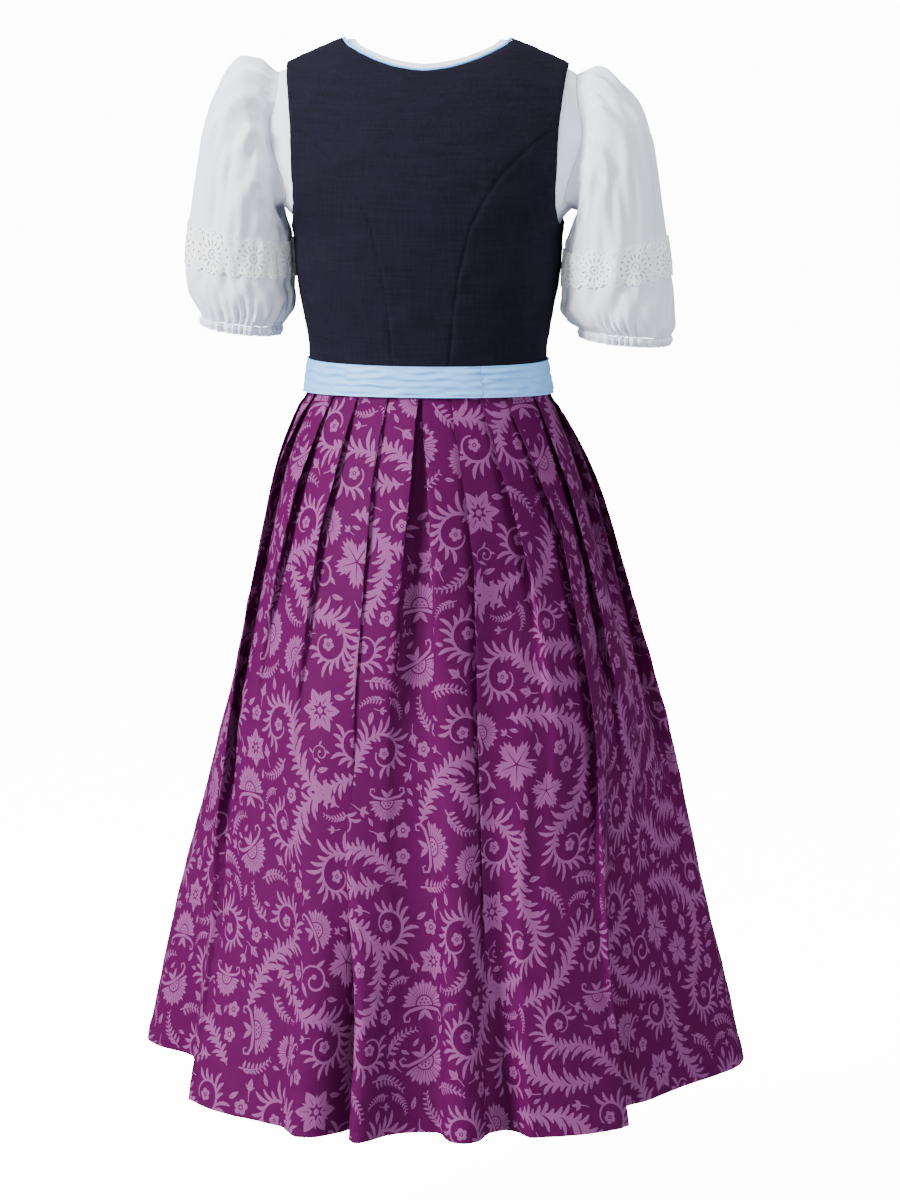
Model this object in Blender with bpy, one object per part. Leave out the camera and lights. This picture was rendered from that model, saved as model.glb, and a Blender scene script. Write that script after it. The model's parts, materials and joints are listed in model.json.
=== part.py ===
"""A dirndl set worn by nobody: linen bodice, pleated skirt, puff-sleeved blouse and apron.

Frame: metres, +Z up. The wearer would face +Y, so the back of the dress faces -Y and the
wearer's right is +X. The origin lies midway between the tips of the two shoulders.

The torso is one surface in two directions: theta runs across it, from -90 degrees at the
left side to +90 at the right, and t runs down it from the ridge of the shoulders, positive
down the back and negative down the front. The skirt is a stack of plan curves in which the
flat cloth position u, from the centre back, is pleated at the waist and waved at the hem.
"""

import math
from collections import namedtuple

import bpy
import bmesh
from mathutils import Vector
from mathutils.geometry import delaunay_2d_cdt

# Driving sizes
SEAM_INSET = 0.00018
LINEN = 0.0016
COTTON = 0.0010
SKIRT_CLOTH = 0.0011
APRON_CLOTH = 0.0011
RIBBON = 0.0015
BLOUSE_UNDER = -0.0067
WAIST_TILT = 0.080
WAIST_SEAM = -0.3360
BAND_TOP = -0.3172
BAND_TOP_TILT = 0.055
BAND_BOTTOM = -0.3547
BAND_BOTTOM_TILT = 0.110
HEM = -1.0900
HALF_WIDTH_FLAT = 1.140
HEM_DRIFT = 0.0145
ACROSS_SCALE = 0.150
SHOULDER_SLOPE = 0.45
SLOPE_STARTS = 0.086
SLOPE_SOFTNESS = 0.008
SLOPE_FADES = 0.170
BUTTONS = 6
BUTTON_RADIUS = 0.0065
BUTTON_DEPTH = 0.0030
BUTTON_STAND = 0.0006
TOP_BUTTON = -0.1330
LAST_BUTTON_RISE = 0.0120

# Finishes: colour, roughness, metallic
NAVY = ("navy_linen", (0.019, 0.016, 0.037), 0.85, 0.0)
MAGENTA = ("magenta_print", (0.235, 0.030, 0.190), 0.60, 0.0)
LIGHT_BLUE = ("light_blue_satin", (0.470, 0.620, 0.800), 0.50, 0.0)
WHITE = ("white_cotton", (0.800, 0.810, 0.840), 0.85, 0.0)
LACE = ("white_lace", (0.860, 0.870, 0.900), 0.90, 0.0)
PEWTER = ("pewter", (0.300, 0.300, 0.310), 0.40, 1.0)

# Torso sections. z is measured inside the neck, before the shoulders slope away;
# the powers square the section (below 1) or point it (above 1)
Section = namedtuple("Section", "z half_width back front back_power front_power")
TORSO = [
    Section(0.0240, 0.2050, 0.0000, 0.0000, 1.48, 1.40),
    Section(0.0215, 0.2050, 0.0160, 0.0150, 1.48, 1.40),
    Section(0.0145, 0.2050, 0.0310, 0.0270, 1.48, 1.40),
    Section(0.0030, 0.2050, 0.0460, 0.0380, 1.48, 1.40),
    Section(-0.0150, 0.2050, 0.0600, 0.0490, 1.48, 1.38),
    Section(-0.0400, 0.2050, 0.0740, 0.0630, 1.48, 1.34),
    Section(-0.0700, 0.2030, 0.0870, 0.0790, 1.48, 1.30),
    Section(-0.1100, 0.1950, 0.0990, 0.0980, 1.44, 1.22),
    Section(-0.1350, 0.1820, 0.1030, 0.1090, 1.32, 1.14),
    Section(-0.1550, 0.1640, 0.1050, 0.1170, 1.14, 1.02),
    Section(-0.1700, 0.1490, 0.1058, 0.1210, 1.02, 0.94),
    Section(-0.1850, 0.1430, 0.1060, 0.1230, 0.97, 0.88),
    Section(-0.2050, 0.1420, 0.1060, 0.1220, 0.93, 0.86),
    Section(-0.2320, 0.1396, 0.1050, 0.1180, 0.91, 0.86),
    Section(-0.2590, 0.1345, 0.1035, 0.1120, 0.90, 0.87),
    Section(-0.2850, 0.1300, 0.1020, 0.1060, 0.90, 0.88),
    Section(-0.3115, 0.1260, 0.1010, 0.1020, 0.90, 0.90),
    Section(-0.3400, 0.1255, 0.1010, 0.1000, 0.90, 0.90),
    Section(-0.3750, 0.1290, 0.1030, 0.1010, 0.90, 0.90),
]

# Cut lines on the torso, as places seen from the back or the front
Place = namedtuple("Place", "x z")
BACK_NECK = [
    Place(0.0, -0.0088), Place(0.0200, -0.0068), Place(0.0380, -0.0030),
    Place(0.0560, 0.0030), Place(0.0730, 0.0105), Place(0.0850, 0.0170),
]
FRONT_NECK = [
    Place(0.0945, 0.0060), Place(0.0985, -0.0130), Place(0.1000, -0.0450),
    Place(0.0950, -0.0780), Place(0.0780, -0.1040), Place(0.0450, -0.1170), Place(0.0, -0.1210),
]
NECK_POINT = 0.0905
NECK_SPANS = 2
PIPING_RADIUS = 0.0014
PIPING_SIDES = 5
PIPING_GAP = 0.0003
NECKBAND_OUTER = -0.0036
NECKBAND_INNER = -0.0062
NECKBAND_LEVELS = [-0.0008, 0.0055, 0.0112]
BLOUSE_NECK_AWAY = 0.0014
BODICE_TIP = 0.1490
BODICE_ARMHOLE = [
    Place(0.1480, -0.0080), Place(0.1460, -0.0220), Place(0.1432, -0.0440), Place(0.1408, -0.0683),
    Place(0.1395, -0.1000), Place(0.1380, -0.1300), Place(0.1384, -0.1520), Place(0.1412, -0.1690),
]
BODICE_UNDERARM = -0.1800
PRINCESS_HEAD = 3
BLOUSE_TIP = 0.1600
BLOUSE_ARMHOLE = [
    Place(0.1600, -0.0180), Place(0.1604, -0.0320), Place(0.1640, -0.0500), Place(0.1680, -0.0690),
    Place(0.1655, -0.0920), Place(0.1590, -0.1120), Place(0.1530, -0.1320), Place(0.1525, -0.1500),
]
BLOUSE_UNDERARM = -0.1620
BLOUSE_LENGTH = -0.2400
BACK_PRINCESS = [
    Place(0.1225, -0.0772), Place(0.1050, -0.0920), Place(0.0840, -0.1133), Place(0.0640, -0.1423),
    Place(0.0467, -0.1873), Place(0.0395, -0.2195), Place(0.0343, -0.2563), Place(0.0312, -0.2943),
]
BACK_PRINCESS_FOOT = 0.0285
FRONT_PRINCESS = [
    Place(0.1240, -0.0900), Place(0.1060, -0.1080), Place(0.0930, -0.1350), Place(0.0860, -0.1700),
    Place(0.0790, -0.2100), Place(0.0690, -0.2500), Place(0.0600, -0.3000),
]
FRONT_PRINCESS_FOOT = 0.0570

# Sleeve rings: the outer and the inner point of each, its half depth front to back, and how
# far the gathers stand
Ring = namedtuple("Ring", "out_x out_z in_x in_z depth gather")
SLEEVE_LEFT = [
    Ring(0.1600, -0.0090, 0.1520, -0.1620, 0.034, 0.0000),
    Ring(0.1760, 0.0000, 0.1540, -0.1660, 0.050, 0.0026),
    Ring(0.1960, -0.0040, 0.1530, -0.1705, 0.058, 0.0022),
    Ring(0.2150, -0.0230, 0.1518, -0.1750, 0.061, 0.0012),
    Ring(0.2300, -0.0500, 0.1500, -0.1795, 0.062, 0.0006),
    Ring(0.2430, -0.0950, 0.1472, -0.1845, 0.063, 0.0003),
    Ring(0.2540, -0.1700, 0.1462, -0.1916, 0.062, 0.0002),
    Ring(0.2585, -0.2190, 0.1435, -0.2322, 0.060, 0.0004),
    Ring(0.2555, -0.2420, 0.1425, -0.2500, 0.057, 0.0012),
    Ring(0.2480, -0.2610, 0.1470, -0.2680, 0.051, 0.0026),
    Ring(0.2410, -0.2730, 0.1580, -0.2830, 0.043, 0.0018),
]
SLEEVE_RIGHT = [
    Ring(0.1600, -0.0090, 0.1520, -0.1620, 0.034, 0.0000),
    Ring(0.1750, -0.0095, 0.1540, -0.1660, 0.050, 0.0024),
    Ring(0.1900, -0.0180, 0.1530, -0.1715, 0.058, 0.0020),
    Ring(0.2090, -0.0345, 0.1518, -0.1775, 0.061, 0.0012),
    Ring(0.2260, -0.0560, 0.1500, -0.1835, 0.062, 0.0006),
    Ring(0.2390, -0.0900, 0.1472, -0.1905, 0.063, 0.0003),
    Ring(0.2525, -0.1830, 0.1460, -0.1991, 0.062, 0.0002),
    Ring(0.2580, -0.2279, 0.1430, -0.2386, 0.060, 0.0004),
    Ring(0.2608, -0.2560, 0.1420, -0.2580, 0.058, 0.0012),
    Ring(0.2600, -0.2780, 0.1485, -0.2720, 0.053, 0.0026),
    Ring(0.2570, -0.2900, 0.1630, -0.2820, 0.046, 0.0018),
]
LACE_FROM = 6.0
LACE_TO = 7.0
LACE_LIFT = 0.0010
LACE_CLOTH = 0.0010
LACE_WHEELS = 8
SLEEVE_SEGMENTS = 40
SLEEVE_GATHERS = 10
SLEEVE_SEAM_GAP = 0.0020
HEAD_BLEND = (1.0, 0.40, 0.15)
HEAD_STEP = 0.016
CUFF_HEIGHT = 0.0100
CUFF_WALL = 0.0022
CUFF_WAVE = 0.0010

# Skirt base sections, down the side from the waist seam
Base = namedtuple("Base", "z half_width back front")
SKIRT = [
    Base(-0.3360, 0.1266, 0.1022, 0.1012),
    Base(-0.3550, 0.1284, 0.1042, 0.1030),
    Base(-0.3700, 0.1385, 0.1135, 0.1095),
    Base(-0.3850, 0.1450, 0.1190, 0.1140),
    Base(-0.4070, 0.1545, 0.1300, 0.1220),
    Base(-0.4500, 0.1700, 0.1460, 0.1360),
    Base(-0.5160, 0.1885, 0.1650, 0.1510),
    Base(-0.6050, 0.2120, 0.1860, 0.1710),
    Base(-0.6940, 0.2345, 0.2060, 0.1920),
    Base(-0.7840, 0.2550, 0.2260, 0.2110),
    Base(-0.8750, 0.2760, 0.2460, 0.2300),
    Base(-0.9670, 0.2965, 0.2650, 0.2470),
    Base(-1.0900, 0.3220, 0.2880, 0.2650),
]
SKIRT_POWER = 0.90
SKIRT_ROWS = [0.0, 0.0255, 0.062, 0.130, 0.240, 0.380, 0.530, 0.690, 0.845, 1.0]

# Pleat waves down the skirt: half height of a wave and the share of a pleat that its
# return takes
Wave = namedtuple("Wave", "v height rise")
WAVES = [
    Wave(0.00, 0.0014, 0.07),
    Wave(0.03, 0.0026, 0.09),
    Wave(0.08, 0.0058, 0.14),
    Wave(0.16, 0.0085, 0.20),
    Wave(0.28, 0.0095, 0.27),
    Wave(0.42, 0.0085, 0.33),
    Wave(0.60, 0.0068, 0.38),
    Wave(0.80, 0.0050, 0.40),
    Wave(1.00, 0.0036, 0.42),
]

# The pleats' edges from the centre back outwards, on the left and the right: where each lies
# in the flat cloth, and how far down the skirt it lasts
Edge = namedtuple("Edge", "left right left_reach right_reach")
EDGES = [
    Edge(0.000, 0.000, 0.62, 0.62), Edge(0.131, 0.112, 1.30, 1.00), Edge(0.210, 0.200, 0.66, 0.52),
    Edge(0.288, 0.287, 0.50, 1.30), Edge(0.366, 0.380, 1.30, 0.66), Edge(0.455, 0.475, 0.60, 0.50),
    Edge(0.550, 0.570, 0.90, 0.85), Edge(0.650, 0.665, 0.55, 0.60), Edge(0.750, 0.760, 0.95, 0.90),
    Edge(0.850, 0.855, 0.55, 0.60), Edge(0.950, 0.950, 0.90, 0.95), Edge(1.045, 1.045, 0.60, 0.55),
    Edge(1.140, 1.140, 0.80, 0.80),
]
PLEATS_A_SIDE = len(EDGES) - 1
CENTRE_GAP = 0.007
SEAM_EDGE = 4

# The hem in plan: how far along the base oval from the centre back, and how far out of it
Lobe = namedtuple("Lobe", "along out")
HEM_LEFT = [
    Lobe(0.000, -0.010), Lobe(0.011, -0.009), Lobe(0.034, -0.002), Lobe(0.051, 0.019),
    Lobe(0.062, 0.028), Lobe(0.070, 0.022), Lobe(0.075, 0.000), Lobe(0.078, -0.012),
    Lobe(0.083, -0.004), Lobe(0.090, 0.005), Lobe(0.106, 0.024), Lobe(0.123, 0.030),
    Lobe(0.136, 0.018), Lobe(0.150, 0.007), Lobe(0.209, 0.006), Lobe(0.245, 0.008),
    Lobe(0.275, 0.006), Lobe(0.284, -0.008), Lobe(0.293, -0.030), Lobe(0.312, -0.044),
    Lobe(0.360, -0.047), Lobe(0.415, -0.046), Lobe(0.432, -0.040), Lobe(0.441, -0.031),
    Lobe(0.458, -0.010), Lobe(0.491, 0.009), Lobe(0.530, 0.008), Lobe(0.570, -0.012),
    Lobe(0.620, 0.004), Lobe(0.670, 0.010), Lobe(0.720, -0.006), Lobe(0.760, -0.014),
    Lobe(0.810, 0.006), Lobe(0.860, 0.008), Lobe(0.905, -0.008), Lobe(0.945, 0.002),
]
HEM_RIGHT = [
    Lobe(0.000, -0.010), Lobe(0.017, -0.011), Lobe(0.030, 0.013), Lobe(0.045, 0.018),
    Lobe(0.057, 0.013), Lobe(0.073, -0.011), Lobe(0.090, -0.018), Lobe(0.101, -0.010),
    Lobe(0.113, 0.013), Lobe(0.144, 0.014), Lobe(0.177, 0.018), Lobe(0.203, 0.019),
    Lobe(0.216, 0.012), Lobe(0.226, -0.012), Lobe(0.238, -0.031), Lobe(0.255, -0.037),
    Lobe(0.291, -0.035), Lobe(0.352, -0.030), Lobe(0.403, -0.011), Lobe(0.435, 0.007),
    Lobe(0.465, 0.012), Lobe(0.510, 0.006), Lobe(0.560, -0.016), Lobe(0.610, 0.004),
    Lobe(0.660, 0.010), Lobe(0.710, -0.006), Lobe(0.750, -0.014), Lobe(0.800, 0.006),
    Lobe(0.850, 0.008), Lobe(0.900, -0.008), Lobe(0.945, 0.002),
]
HEM_HALF_ROUND = 0.945
PLEAT_SAMPLES = [0.0, 0.24, 0.50, 0.76, 0.93]

# The apron: share of the half round from the centre front that it covers, how far it
# stands off the skirt's base, and the height of its own waves
Cover = namedtuple("Cover", "v half_span stand wave")
APRON = [
    Cover(0.0292, 0.345, 0.0042, 0.0006),
    Cover(0.062, 0.350, 0.0094, 0.0014),
    Cover(0.130, 0.355, 0.0150, 0.0024),
    Cover(0.240, 0.358, 0.0190, 0.0036),
    Cover(0.380, 0.360, 0.0215, 0.0042),
    Cover(0.530, 0.361, 0.0240, 0.0048),
    Cover(0.690, 0.363, 0.0265, 0.0052),
    Cover(0.845, 0.364, 0.0290, 0.0056),
    Cover(0.965, 0.365, 0.0310, 0.0060),
]
APRON_WAVES = 9
APRON_COLUMNS = 34
BAND_LIFT_TOP = 0.0017
BAND_LIFT_BOTTOM = 0.0062
BAND_APRON_HALF_ANGLE = 62.0
TIE_JOIN_X = 0.0620
BOW_ANGLE = -18.0
BOW_LEVEL = 0.030
BOW_STAND = 0.0034
LOOP_GAP = 0.0001
TAIL_LIFT = 0.0025
TAIL_TOP = 0.0222
KNOT = (0.022, 0.014, 0.030)
LOOP_LENGTH = 0.066
LOOP_WIDTH = 0.034
LOOP_STAND = 0.0080
LOOP_REACH = 0.0080
LOOP_SWELL = 0.0115
TAIL_SHARE = 0.430
TAIL_UNEVEN = 0.030
TAIL_ROWS = 9


class Curve:
    """Smooth monotone curves through the named columns of a table."""

    def __init__(self, rows, keys, even=()):
        self.rows = rows
        self.keys = keys
        self.even = even
        self.slopes = {}

    def slope(self, column):
        if column not in self.slopes:
            self.slopes[column] = self.work_out_slopes(column)
        return self.slopes[column]

    def work_out_slopes(self, column):
        values = [getattr(row, column) for row in self.rows]
        keys = self.keys
        steps = [(values[i + 1] - values[i]) / (keys[i + 1] - keys[i]) for i in range(len(keys) - 1)]
        slopes = [0.0 if column in self.even else steps[0]]
        for i in range(1, len(keys) - 1):
            before, after = steps[i - 1], steps[i]
            if before * after <= 0:
                slopes.append(0.0)
                continue
            slopes.append(2 * before * after / (before + after))
        slopes.append(steps[-1])
        return slopes

    def at(self, key, column):
        keys = self.keys
        key = min(max(key, keys[0]), keys[-1])
        i = 0
        while i < len(keys) - 2 and key > keys[i + 1]:
            i += 1
        span = keys[i + 1] - keys[i]
        f = (key - keys[i]) / span
        slopes = self.slope(column)
        a, b = getattr(self.rows[i], column), getattr(self.rows[i + 1], column)
        h00 = (1 + 2 * f) * (1 - f) ** 2
        h10 = f * (1 - f) ** 2
        h01 = f * f * (3 - 2 * f)
        h11 = f * f * (f - 1)
        return h00 * a + h10 * span * slopes[i] + h01 * b + h11 * span * slopes[i + 1]


def smooth(x):
    """0 below 0, 1 above 1, and a soft step between."""
    x = min(max(x, 0.0), 1.0)
    return x * x * (3 - 2 * x)


def mix(a, b, f):
    return a + (b - a) * f


def running_lengths(rows):
    """How far each torso section lies from the ridge, along the centre back."""
    lengths = [0.0]
    for above, below in zip(rows, rows[1:]):
        lengths.append(lengths[-1] + math.hypot(below.back - above.back, below.z - above.z))
    return lengths


def cloth_lengths(rows):
    """Where in the flat cloth each row of the hem lies: the cloth follows the hem's length."""
    lengths = [0.0]
    for one, two in zip(rows, rows[1:]):
        lengths.append(lengths[-1] + math.hypot(two.along - one.along, two.out - one.out))
    return [length * HALF_WIDTH_FLAT / lengths[-1] for length in lengths]


TORSO_CURVE = Curve(TORSO, running_lengths(TORSO), even=("z",))
TORSO_LENGTH = TORSO_CURVE.keys[-1]
SKIRT_CURVE = Curve(SKIRT, [-row.z for row in SKIRT])
WAVE_CURVE = Curve(WAVES, [row.v for row in WAVES])
HEM_LEFT_CURVE = Curve(HEM_LEFT, cloth_lengths(HEM_LEFT))
HEM_RIGHT_CURVE = Curve(HEM_RIGHT, cloth_lengths(HEM_RIGHT))
APRON_CURVE = Curve(APRON, [row.v for row in APRON])


# Torso surface

def shoulder_fall(x, t):
    """How far the shoulder slopes below the level of the neck."""
    beyond = abs(x) - SLOPE_STARTS
    fall = SHOULDER_SLOPE * (math.hypot(beyond, SLOPE_SOFTNESS) + beyond) / 2
    return fall * (1 - smooth(abs(t) / SLOPE_FADES))


def torso_point(theta, t):
    length = abs(t)
    back = t >= 0
    reach = TORSO_CURVE.at(length, "back" if back else "front")
    power = TORSO_CURVE.at(length, "back_power" if back else "front_power")
    x = TORSO_CURVE.at(length, "half_width") * math.sin(theta)
    y = reach * max(math.cos(theta), 0.0) ** power
    z = TORSO_CURVE.at(length, "z") - shoulder_fall(x, t)
    return Vector((x, -y if back else y, z))


def torso(theta, t, off=0.0):
    """A point of the torso surface, moved out along its normal."""
    point = torso_point(theta, t)
    if off == 0.0:
        return point
    step = 0.004
    limit = math.radians(88.5)
    at = min(max(theta, -limit), limit)
    across = torso_point(at + step, t) - torso_point(at - step, t)
    down = torso_point(at, t + step / 4) - torso_point(at, t - step / 4)
    if abs(t) > TORSO_LENGTH - step / 2:
        inner = math.copysign(TORSO_LENGTH - step / 2, t)
        down = torso_point(at, inner + step / 4) - torso_point(at, inner - step / 4)
    normal = across.cross(down)
    outward = Vector((point.x, point.y, 0.02 if abs(t) < 0.05 else 0.0))
    if normal.dot(outward) < 0:
        normal = -normal
    if abs(theta) > limit:
        normal.y = 0.0
    return point + normal.normalized() * off


def solve(low, high, wanted):
    """The place between low and high where wanted turns from positive to negative."""
    for _ in range(50):
        middle = (low + high) / 2
        if wanted(middle) > 0:
            low = middle
        else:
            high = middle
    return (low + high) / 2


def locate(x, z, side):
    """The domain place of a point of the torso seen at x, z. side is 1 back, -1 front."""
    t = solve(0.0, TORSO_LENGTH, lambda s: TORSO_CURVE.at(s, "z") - shoulder_fall(x, s) - z)
    theta = math.asin(min(max(x / TORSO_CURVE.at(t, "half_width"), -1.0), 1.0))
    return theta * ACROSS_SCALE, side * t


def locate_side(z, side):
    """The domain place on the side seam at height z."""
    return math.pi / 2 * ACROSS_SCALE, side * solve(
        0.02, TORSO_LENGTH, lambda s: torso_point(math.pi / 2, s).z - z
    )


def locate_low(theta, side, height, tilt=WAIST_TILT):
    """The domain place at angle theta on a level that tilts with the waist."""
    def above(s):
        point = torso_point(theta, side * s)
        return point.z - (height - tilt * point.y)
    return theta * ACROSS_SCALE, side * solve(0.10, TORSO_LENGTH, above)


def place_torso(u, v, off):
    return torso(u / ACROSS_SCALE, v, off)


def mirrored(path):
    return [(-u, v) for u, v in path]


def between(start, end, count):
    """Places strictly between two domain places, evenly spaced."""
    shares = [(i + 1) / (count + 1) for i in range(count)]
    return [(mix(start[0], end[0], f), mix(start[1], end[1], f)) for f in shares]


def edge_low(theta_from, theta_to, side, height, count):
    """A level edge from one angle to another, both included."""
    angles = [mix(theta_from, theta_to, i / count) for i in range(count + 1)]
    return [locate_low(theta, side, height) for theta in angles]


def half_neck(side):
    """The right half of the neckline's own places, from the centre to the ridge."""
    rows = BACK_NECK if side > 0 else list(reversed(FRONT_NECK))
    return [locate(row.x, row.z, side) for row in rows]


def ridge(x):
    theta = math.asin(x / TORSO[0].half_width)
    return theta * ACROSS_SCALE, 0.0


# Solids

def finish(name, bm, look, smooth_shading=True):
    """Turns a closed bmesh into a named object with its material."""
    bmesh.ops.recalc_face_normals(bm, faces=bm.faces)
    mesh = bpy.data.meshes.new(name)
    bm.to_mesh(mesh)
    bm.free()
    if smooth_shading:
        mesh.shade_smooth()
        mesh.set_sharp_from_angle(angle=math.radians(50))
    piece = bpy.data.objects.new(name, mesh)
    piece.data.materials.append(material(look))
    collection().objects.link(piece)
    return piece


def material(look):
    name, colour, roughness, metallic = look
    found = bpy.data.materials.get(name)
    if found:
        return found
    made = bpy.data.materials.new(name)
    made.use_nodes = True
    shader = made.node_tree.nodes["Principled BSDF"]
    shader.inputs["Base Color"].default_value = (*colour, 1.0)
    shader.inputs["Roughness"].default_value = roughness
    shader.inputs["Metallic"].default_value = metallic
    return made


def collection():
    found = bpy.data.collections.get("dirndl")
    if found:
        return found
    made = bpy.data.collections.new("dirndl")
    bpy.context.scene.collection.children.link(made)
    return made


def halved(face, points):
    """A face as triangles, a quad cut across its shorter diagonal."""
    if len(face) != 4:
        return [face]
    a, b, c, d = face
    if (points[a] - points[c]).length <= (points[b] - points[d]).length:
        return [[a, b, c], [a, c, d]]
    return [[a, b, d], [b, c, d]]


def close_wall(name, outer, inner, faces, look):
    """A closed wall from matching outer and inner points, rimmed where its faces end.

    Both sides are cut into the same triangles, so that a bent wall keeps its thickness.
    """
    faces = [part for face in faces for part in halved(face, outer)]
    bm = bmesh.new()
    outer_verts = [bm.verts.new(p) for p in outer]
    inner_verts = [bm.verts.new(p) for p in inner]
    uses = {}
    for face in faces:
        bm.faces.new([outer_verts[i] for i in face])
        bm.faces.new([inner_verts[i] for i in reversed(face)])
        for a, b in zip(face, face[1:] + face[:1]):
            key = (min(a, b), max(a, b))
            uses[key] = None if key in uses else (a, b)
    for edge in uses.values():
        if edge:
            a, b = edge
            bm.faces.new([outer_verts[b], outer_verts[a], inner_verts[a], inner_verts[b]])
    bm.verts.ensure_lookup_table()
    for vert in [v for v in bm.verts if not v.link_faces]:
        bm.verts.remove(vert)
    return finish(name, bm, look)


def grid_wall(name, outer, inner, look, closed=False):
    """A wall from two grids of points, rows by columns, closed round its columns if asked."""
    rows, columns = len(outer), len(outer[0])
    last = columns if closed else columns - 1
    faces = []
    for r in range(rows - 1):
        for c in range(last):
            d = (c + 1) % columns
            faces.append([r * columns + c, r * columns + d, (r + 1) * columns + d, (r + 1) * columns + c])
    return close_wall(
        name, [p for row in outer for p in row], [p for row in inner for p in row], faces, look
    )


def inset(outline, distance):
    """The outline moved in by a small distance, corner by corner."""
    area = sum(a[0] * b[1] - b[0] * a[1] for a, b in zip(outline, outline[1:] + outline[:1]))
    turn = 1.0 if area > 0 else -1.0
    moved = []
    for before, at, after in zip(outline[-1:] + outline[:-1], outline, outline[1:] + outline[:1]):
        one = Vector((at[0] - before[0], at[1] - before[1])).normalized()
        two = Vector((after[0] - at[0], after[1] - at[1])).normalized()
        inward = Vector((-one.y - two.y, one.x + two.x)) * turn
        length = max(inward.length_squared / 2, 0.35)
        moved.append((at[0] + inward.x * distance / length, at[1] + inward.y * distance / length))
    return moved


def inside(outline, u, v):
    """Whether a place lies inside an outline, by counting crossings."""
    crossed = False
    for a, b in zip(outline, outline[1:] + outline[:1]):
        if (a[1] > v) != (b[1] > v) and u < a[0] + (v - a[1]) * (b[0] - a[0]) / (b[1] - a[1]):
            crossed = not crossed
    return crossed


def far_from(outline, u, v, distance):
    """Whether a place keeps a distance to every edge of an outline."""
    here = Vector((u, v))
    for a, b in zip(outline, outline[1:] + outline[:1]):
        start, edge = Vector(a), Vector(b) - Vector(a)
        share = min(max((here - start).dot(edge) / max(edge.length_squared, 1e-12), 0.0), 1.0)
        if (start + edge * share - here).length < distance:
            return False
    return True


def cut_panel(name, outline, look, off_outer, wall, spacing=0.032):
    """A cloth panel: an outline on the torso filled with points, as a wall."""
    outline = inset(outline, SEAM_INSET)
    points = [Vector(p) for p in outline]
    low_u, high_u = min(p[0] for p in outline), max(p[0] for p in outline)
    low_v, high_v = min(p[1] for p in outline), max(p[1] for p in outline)
    v = low_v
    row = 0
    while v < high_v:
        u = low_u + (spacing / 2 if row % 2 else 0.0)
        while u < high_u:
            if inside(outline, u, v) and far_from(outline, u, v, spacing * 0.5):
                points.append(Vector((u, v)))
            u += spacing
        bends = abs(v) < 0.09 or 0.185 < abs(v) < 0.27
        v += spacing * (0.45 if bends else 0.95)
        row += 1
    corner_ids = list(range(len(outline)))
    edges = list(zip(corner_ids, corner_ids[1:] + corner_ids[:1]))
    made, _, faces, _, _, _ = delaunay_2d_cdt(points, edges, [corner_ids], 1, 1e-7)
    outer = [place_torso(p.x, p.y, off_outer) for p in made]
    inner = [place_torso(p.x, p.y, off_outer - wall) for p in made]
    return close_wall(name, outer, inner, [list(face) for face in faces], look)


# Bodice

def princess(side):
    """The princess seam on the right, from the armhole to the waist, ends left out."""
    rows = BACK_PRINCESS if side > 0 else FRONT_PRINCESS
    return [locate(row.x, row.z, side) for row in rows]


def foot_angle(side):
    foot = BACK_PRINCESS_FOOT if side > 0 else FRONT_PRINCESS_FOOT
    return math.asin(foot / TORSO_CURVE.at(TORSO_LENGTH - 0.03, "half_width"))


def armhole(side, rows):
    return [locate(row.x, row.z, side) for row in rows]


def bodice_centre(side):
    """Outline of the right half of the centre panel, from the centre line round to it."""
    neck = neck_quarter(side)
    foot = foot_angle(side)
    low = edge_low(foot, 0.0, side, WAIST_SEAM, 2)
    shoulder = between(ridge(NECK_POINT), ridge(BODICE_TIP), 3)
    hole = armhole(side, BODICE_ARMHOLE)[:PRINCESS_HEAD + 1]
    return neck + shoulder + [ridge(BODICE_TIP)] + hole + princess(side) + low


def bodice_side(side):
    """Outline of the right side panel, between the princess seam and the side seam."""
    hole = armhole(side, BODICE_ARMHOLE)[PRINCESS_HEAD:]
    top = locate_side(BODICE_UNDERARM, side)
    low = edge_low(math.pi / 2, foot_angle(side), side, WAIST_SEAM, 4)
    seam = between(top, low[0], 5)
    return hole + [top] + seam + low + list(reversed(princess(side)))


def make_bodice():
    back = bodice_centre(1)
    centre_top, centre_foot = back[0], back[-1]
    outline = [centre_top] + back[1:-1] + [centre_foot] + mirrored(reversed(back[1:-1]))
    cut_panel("bodice_back_centre", outline, NAVY, 0.0, LINEN)
    front = bodice_centre(-1)
    top, foot = front[0], front[-1]
    closing = between(foot, top, 8)
    cut_panel("bodice_front_right", front + closing, NAVY, 0.0, LINEN)
    cut_panel("bodice_front_left", mirrored(front + closing), NAVY, 0.0, LINEN)
    for side, word in ((1, "back"), (-1, "front")):
        outline = bodice_side(side)
        cut_panel("bodice_%s_side_right" % word, outline, NAVY, 0.0, LINEN)
        cut_panel("bodice_%s_side_left" % word, mirrored(outline), NAVY, 0.0, LINEN)


def neck_loop():
    """The whole neckline as a smooth closed loop of domain places, from the centre back."""
    back = half_neck(1)
    front = half_neck(-1)
    right = back + [ridge(NECK_POINT)] + list(reversed(front))
    path = right + mirrored(reversed(right[1:-1]))
    loop = []
    for i in range(len(path)):
        p0, p1, p2, p3 = (Vector(path[(i + j) % len(path)]) for j in (-1, 0, 1, 2))
        m1, m2 = (p2 - p0) / 2, (p3 - p1) / 2
        for k in range(NECK_SPANS):
            f = k / NECK_SPANS
            point = (
                p1 * (1 + 2 * f) * (1 - f) ** 2 + m1 * f * (1 - f) ** 2
                + p2 * f * f * (3 - 2 * f) + m2 * f * f * (f - 1)
            )
            loop.append((point.x, point.y))
    return loop


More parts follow.
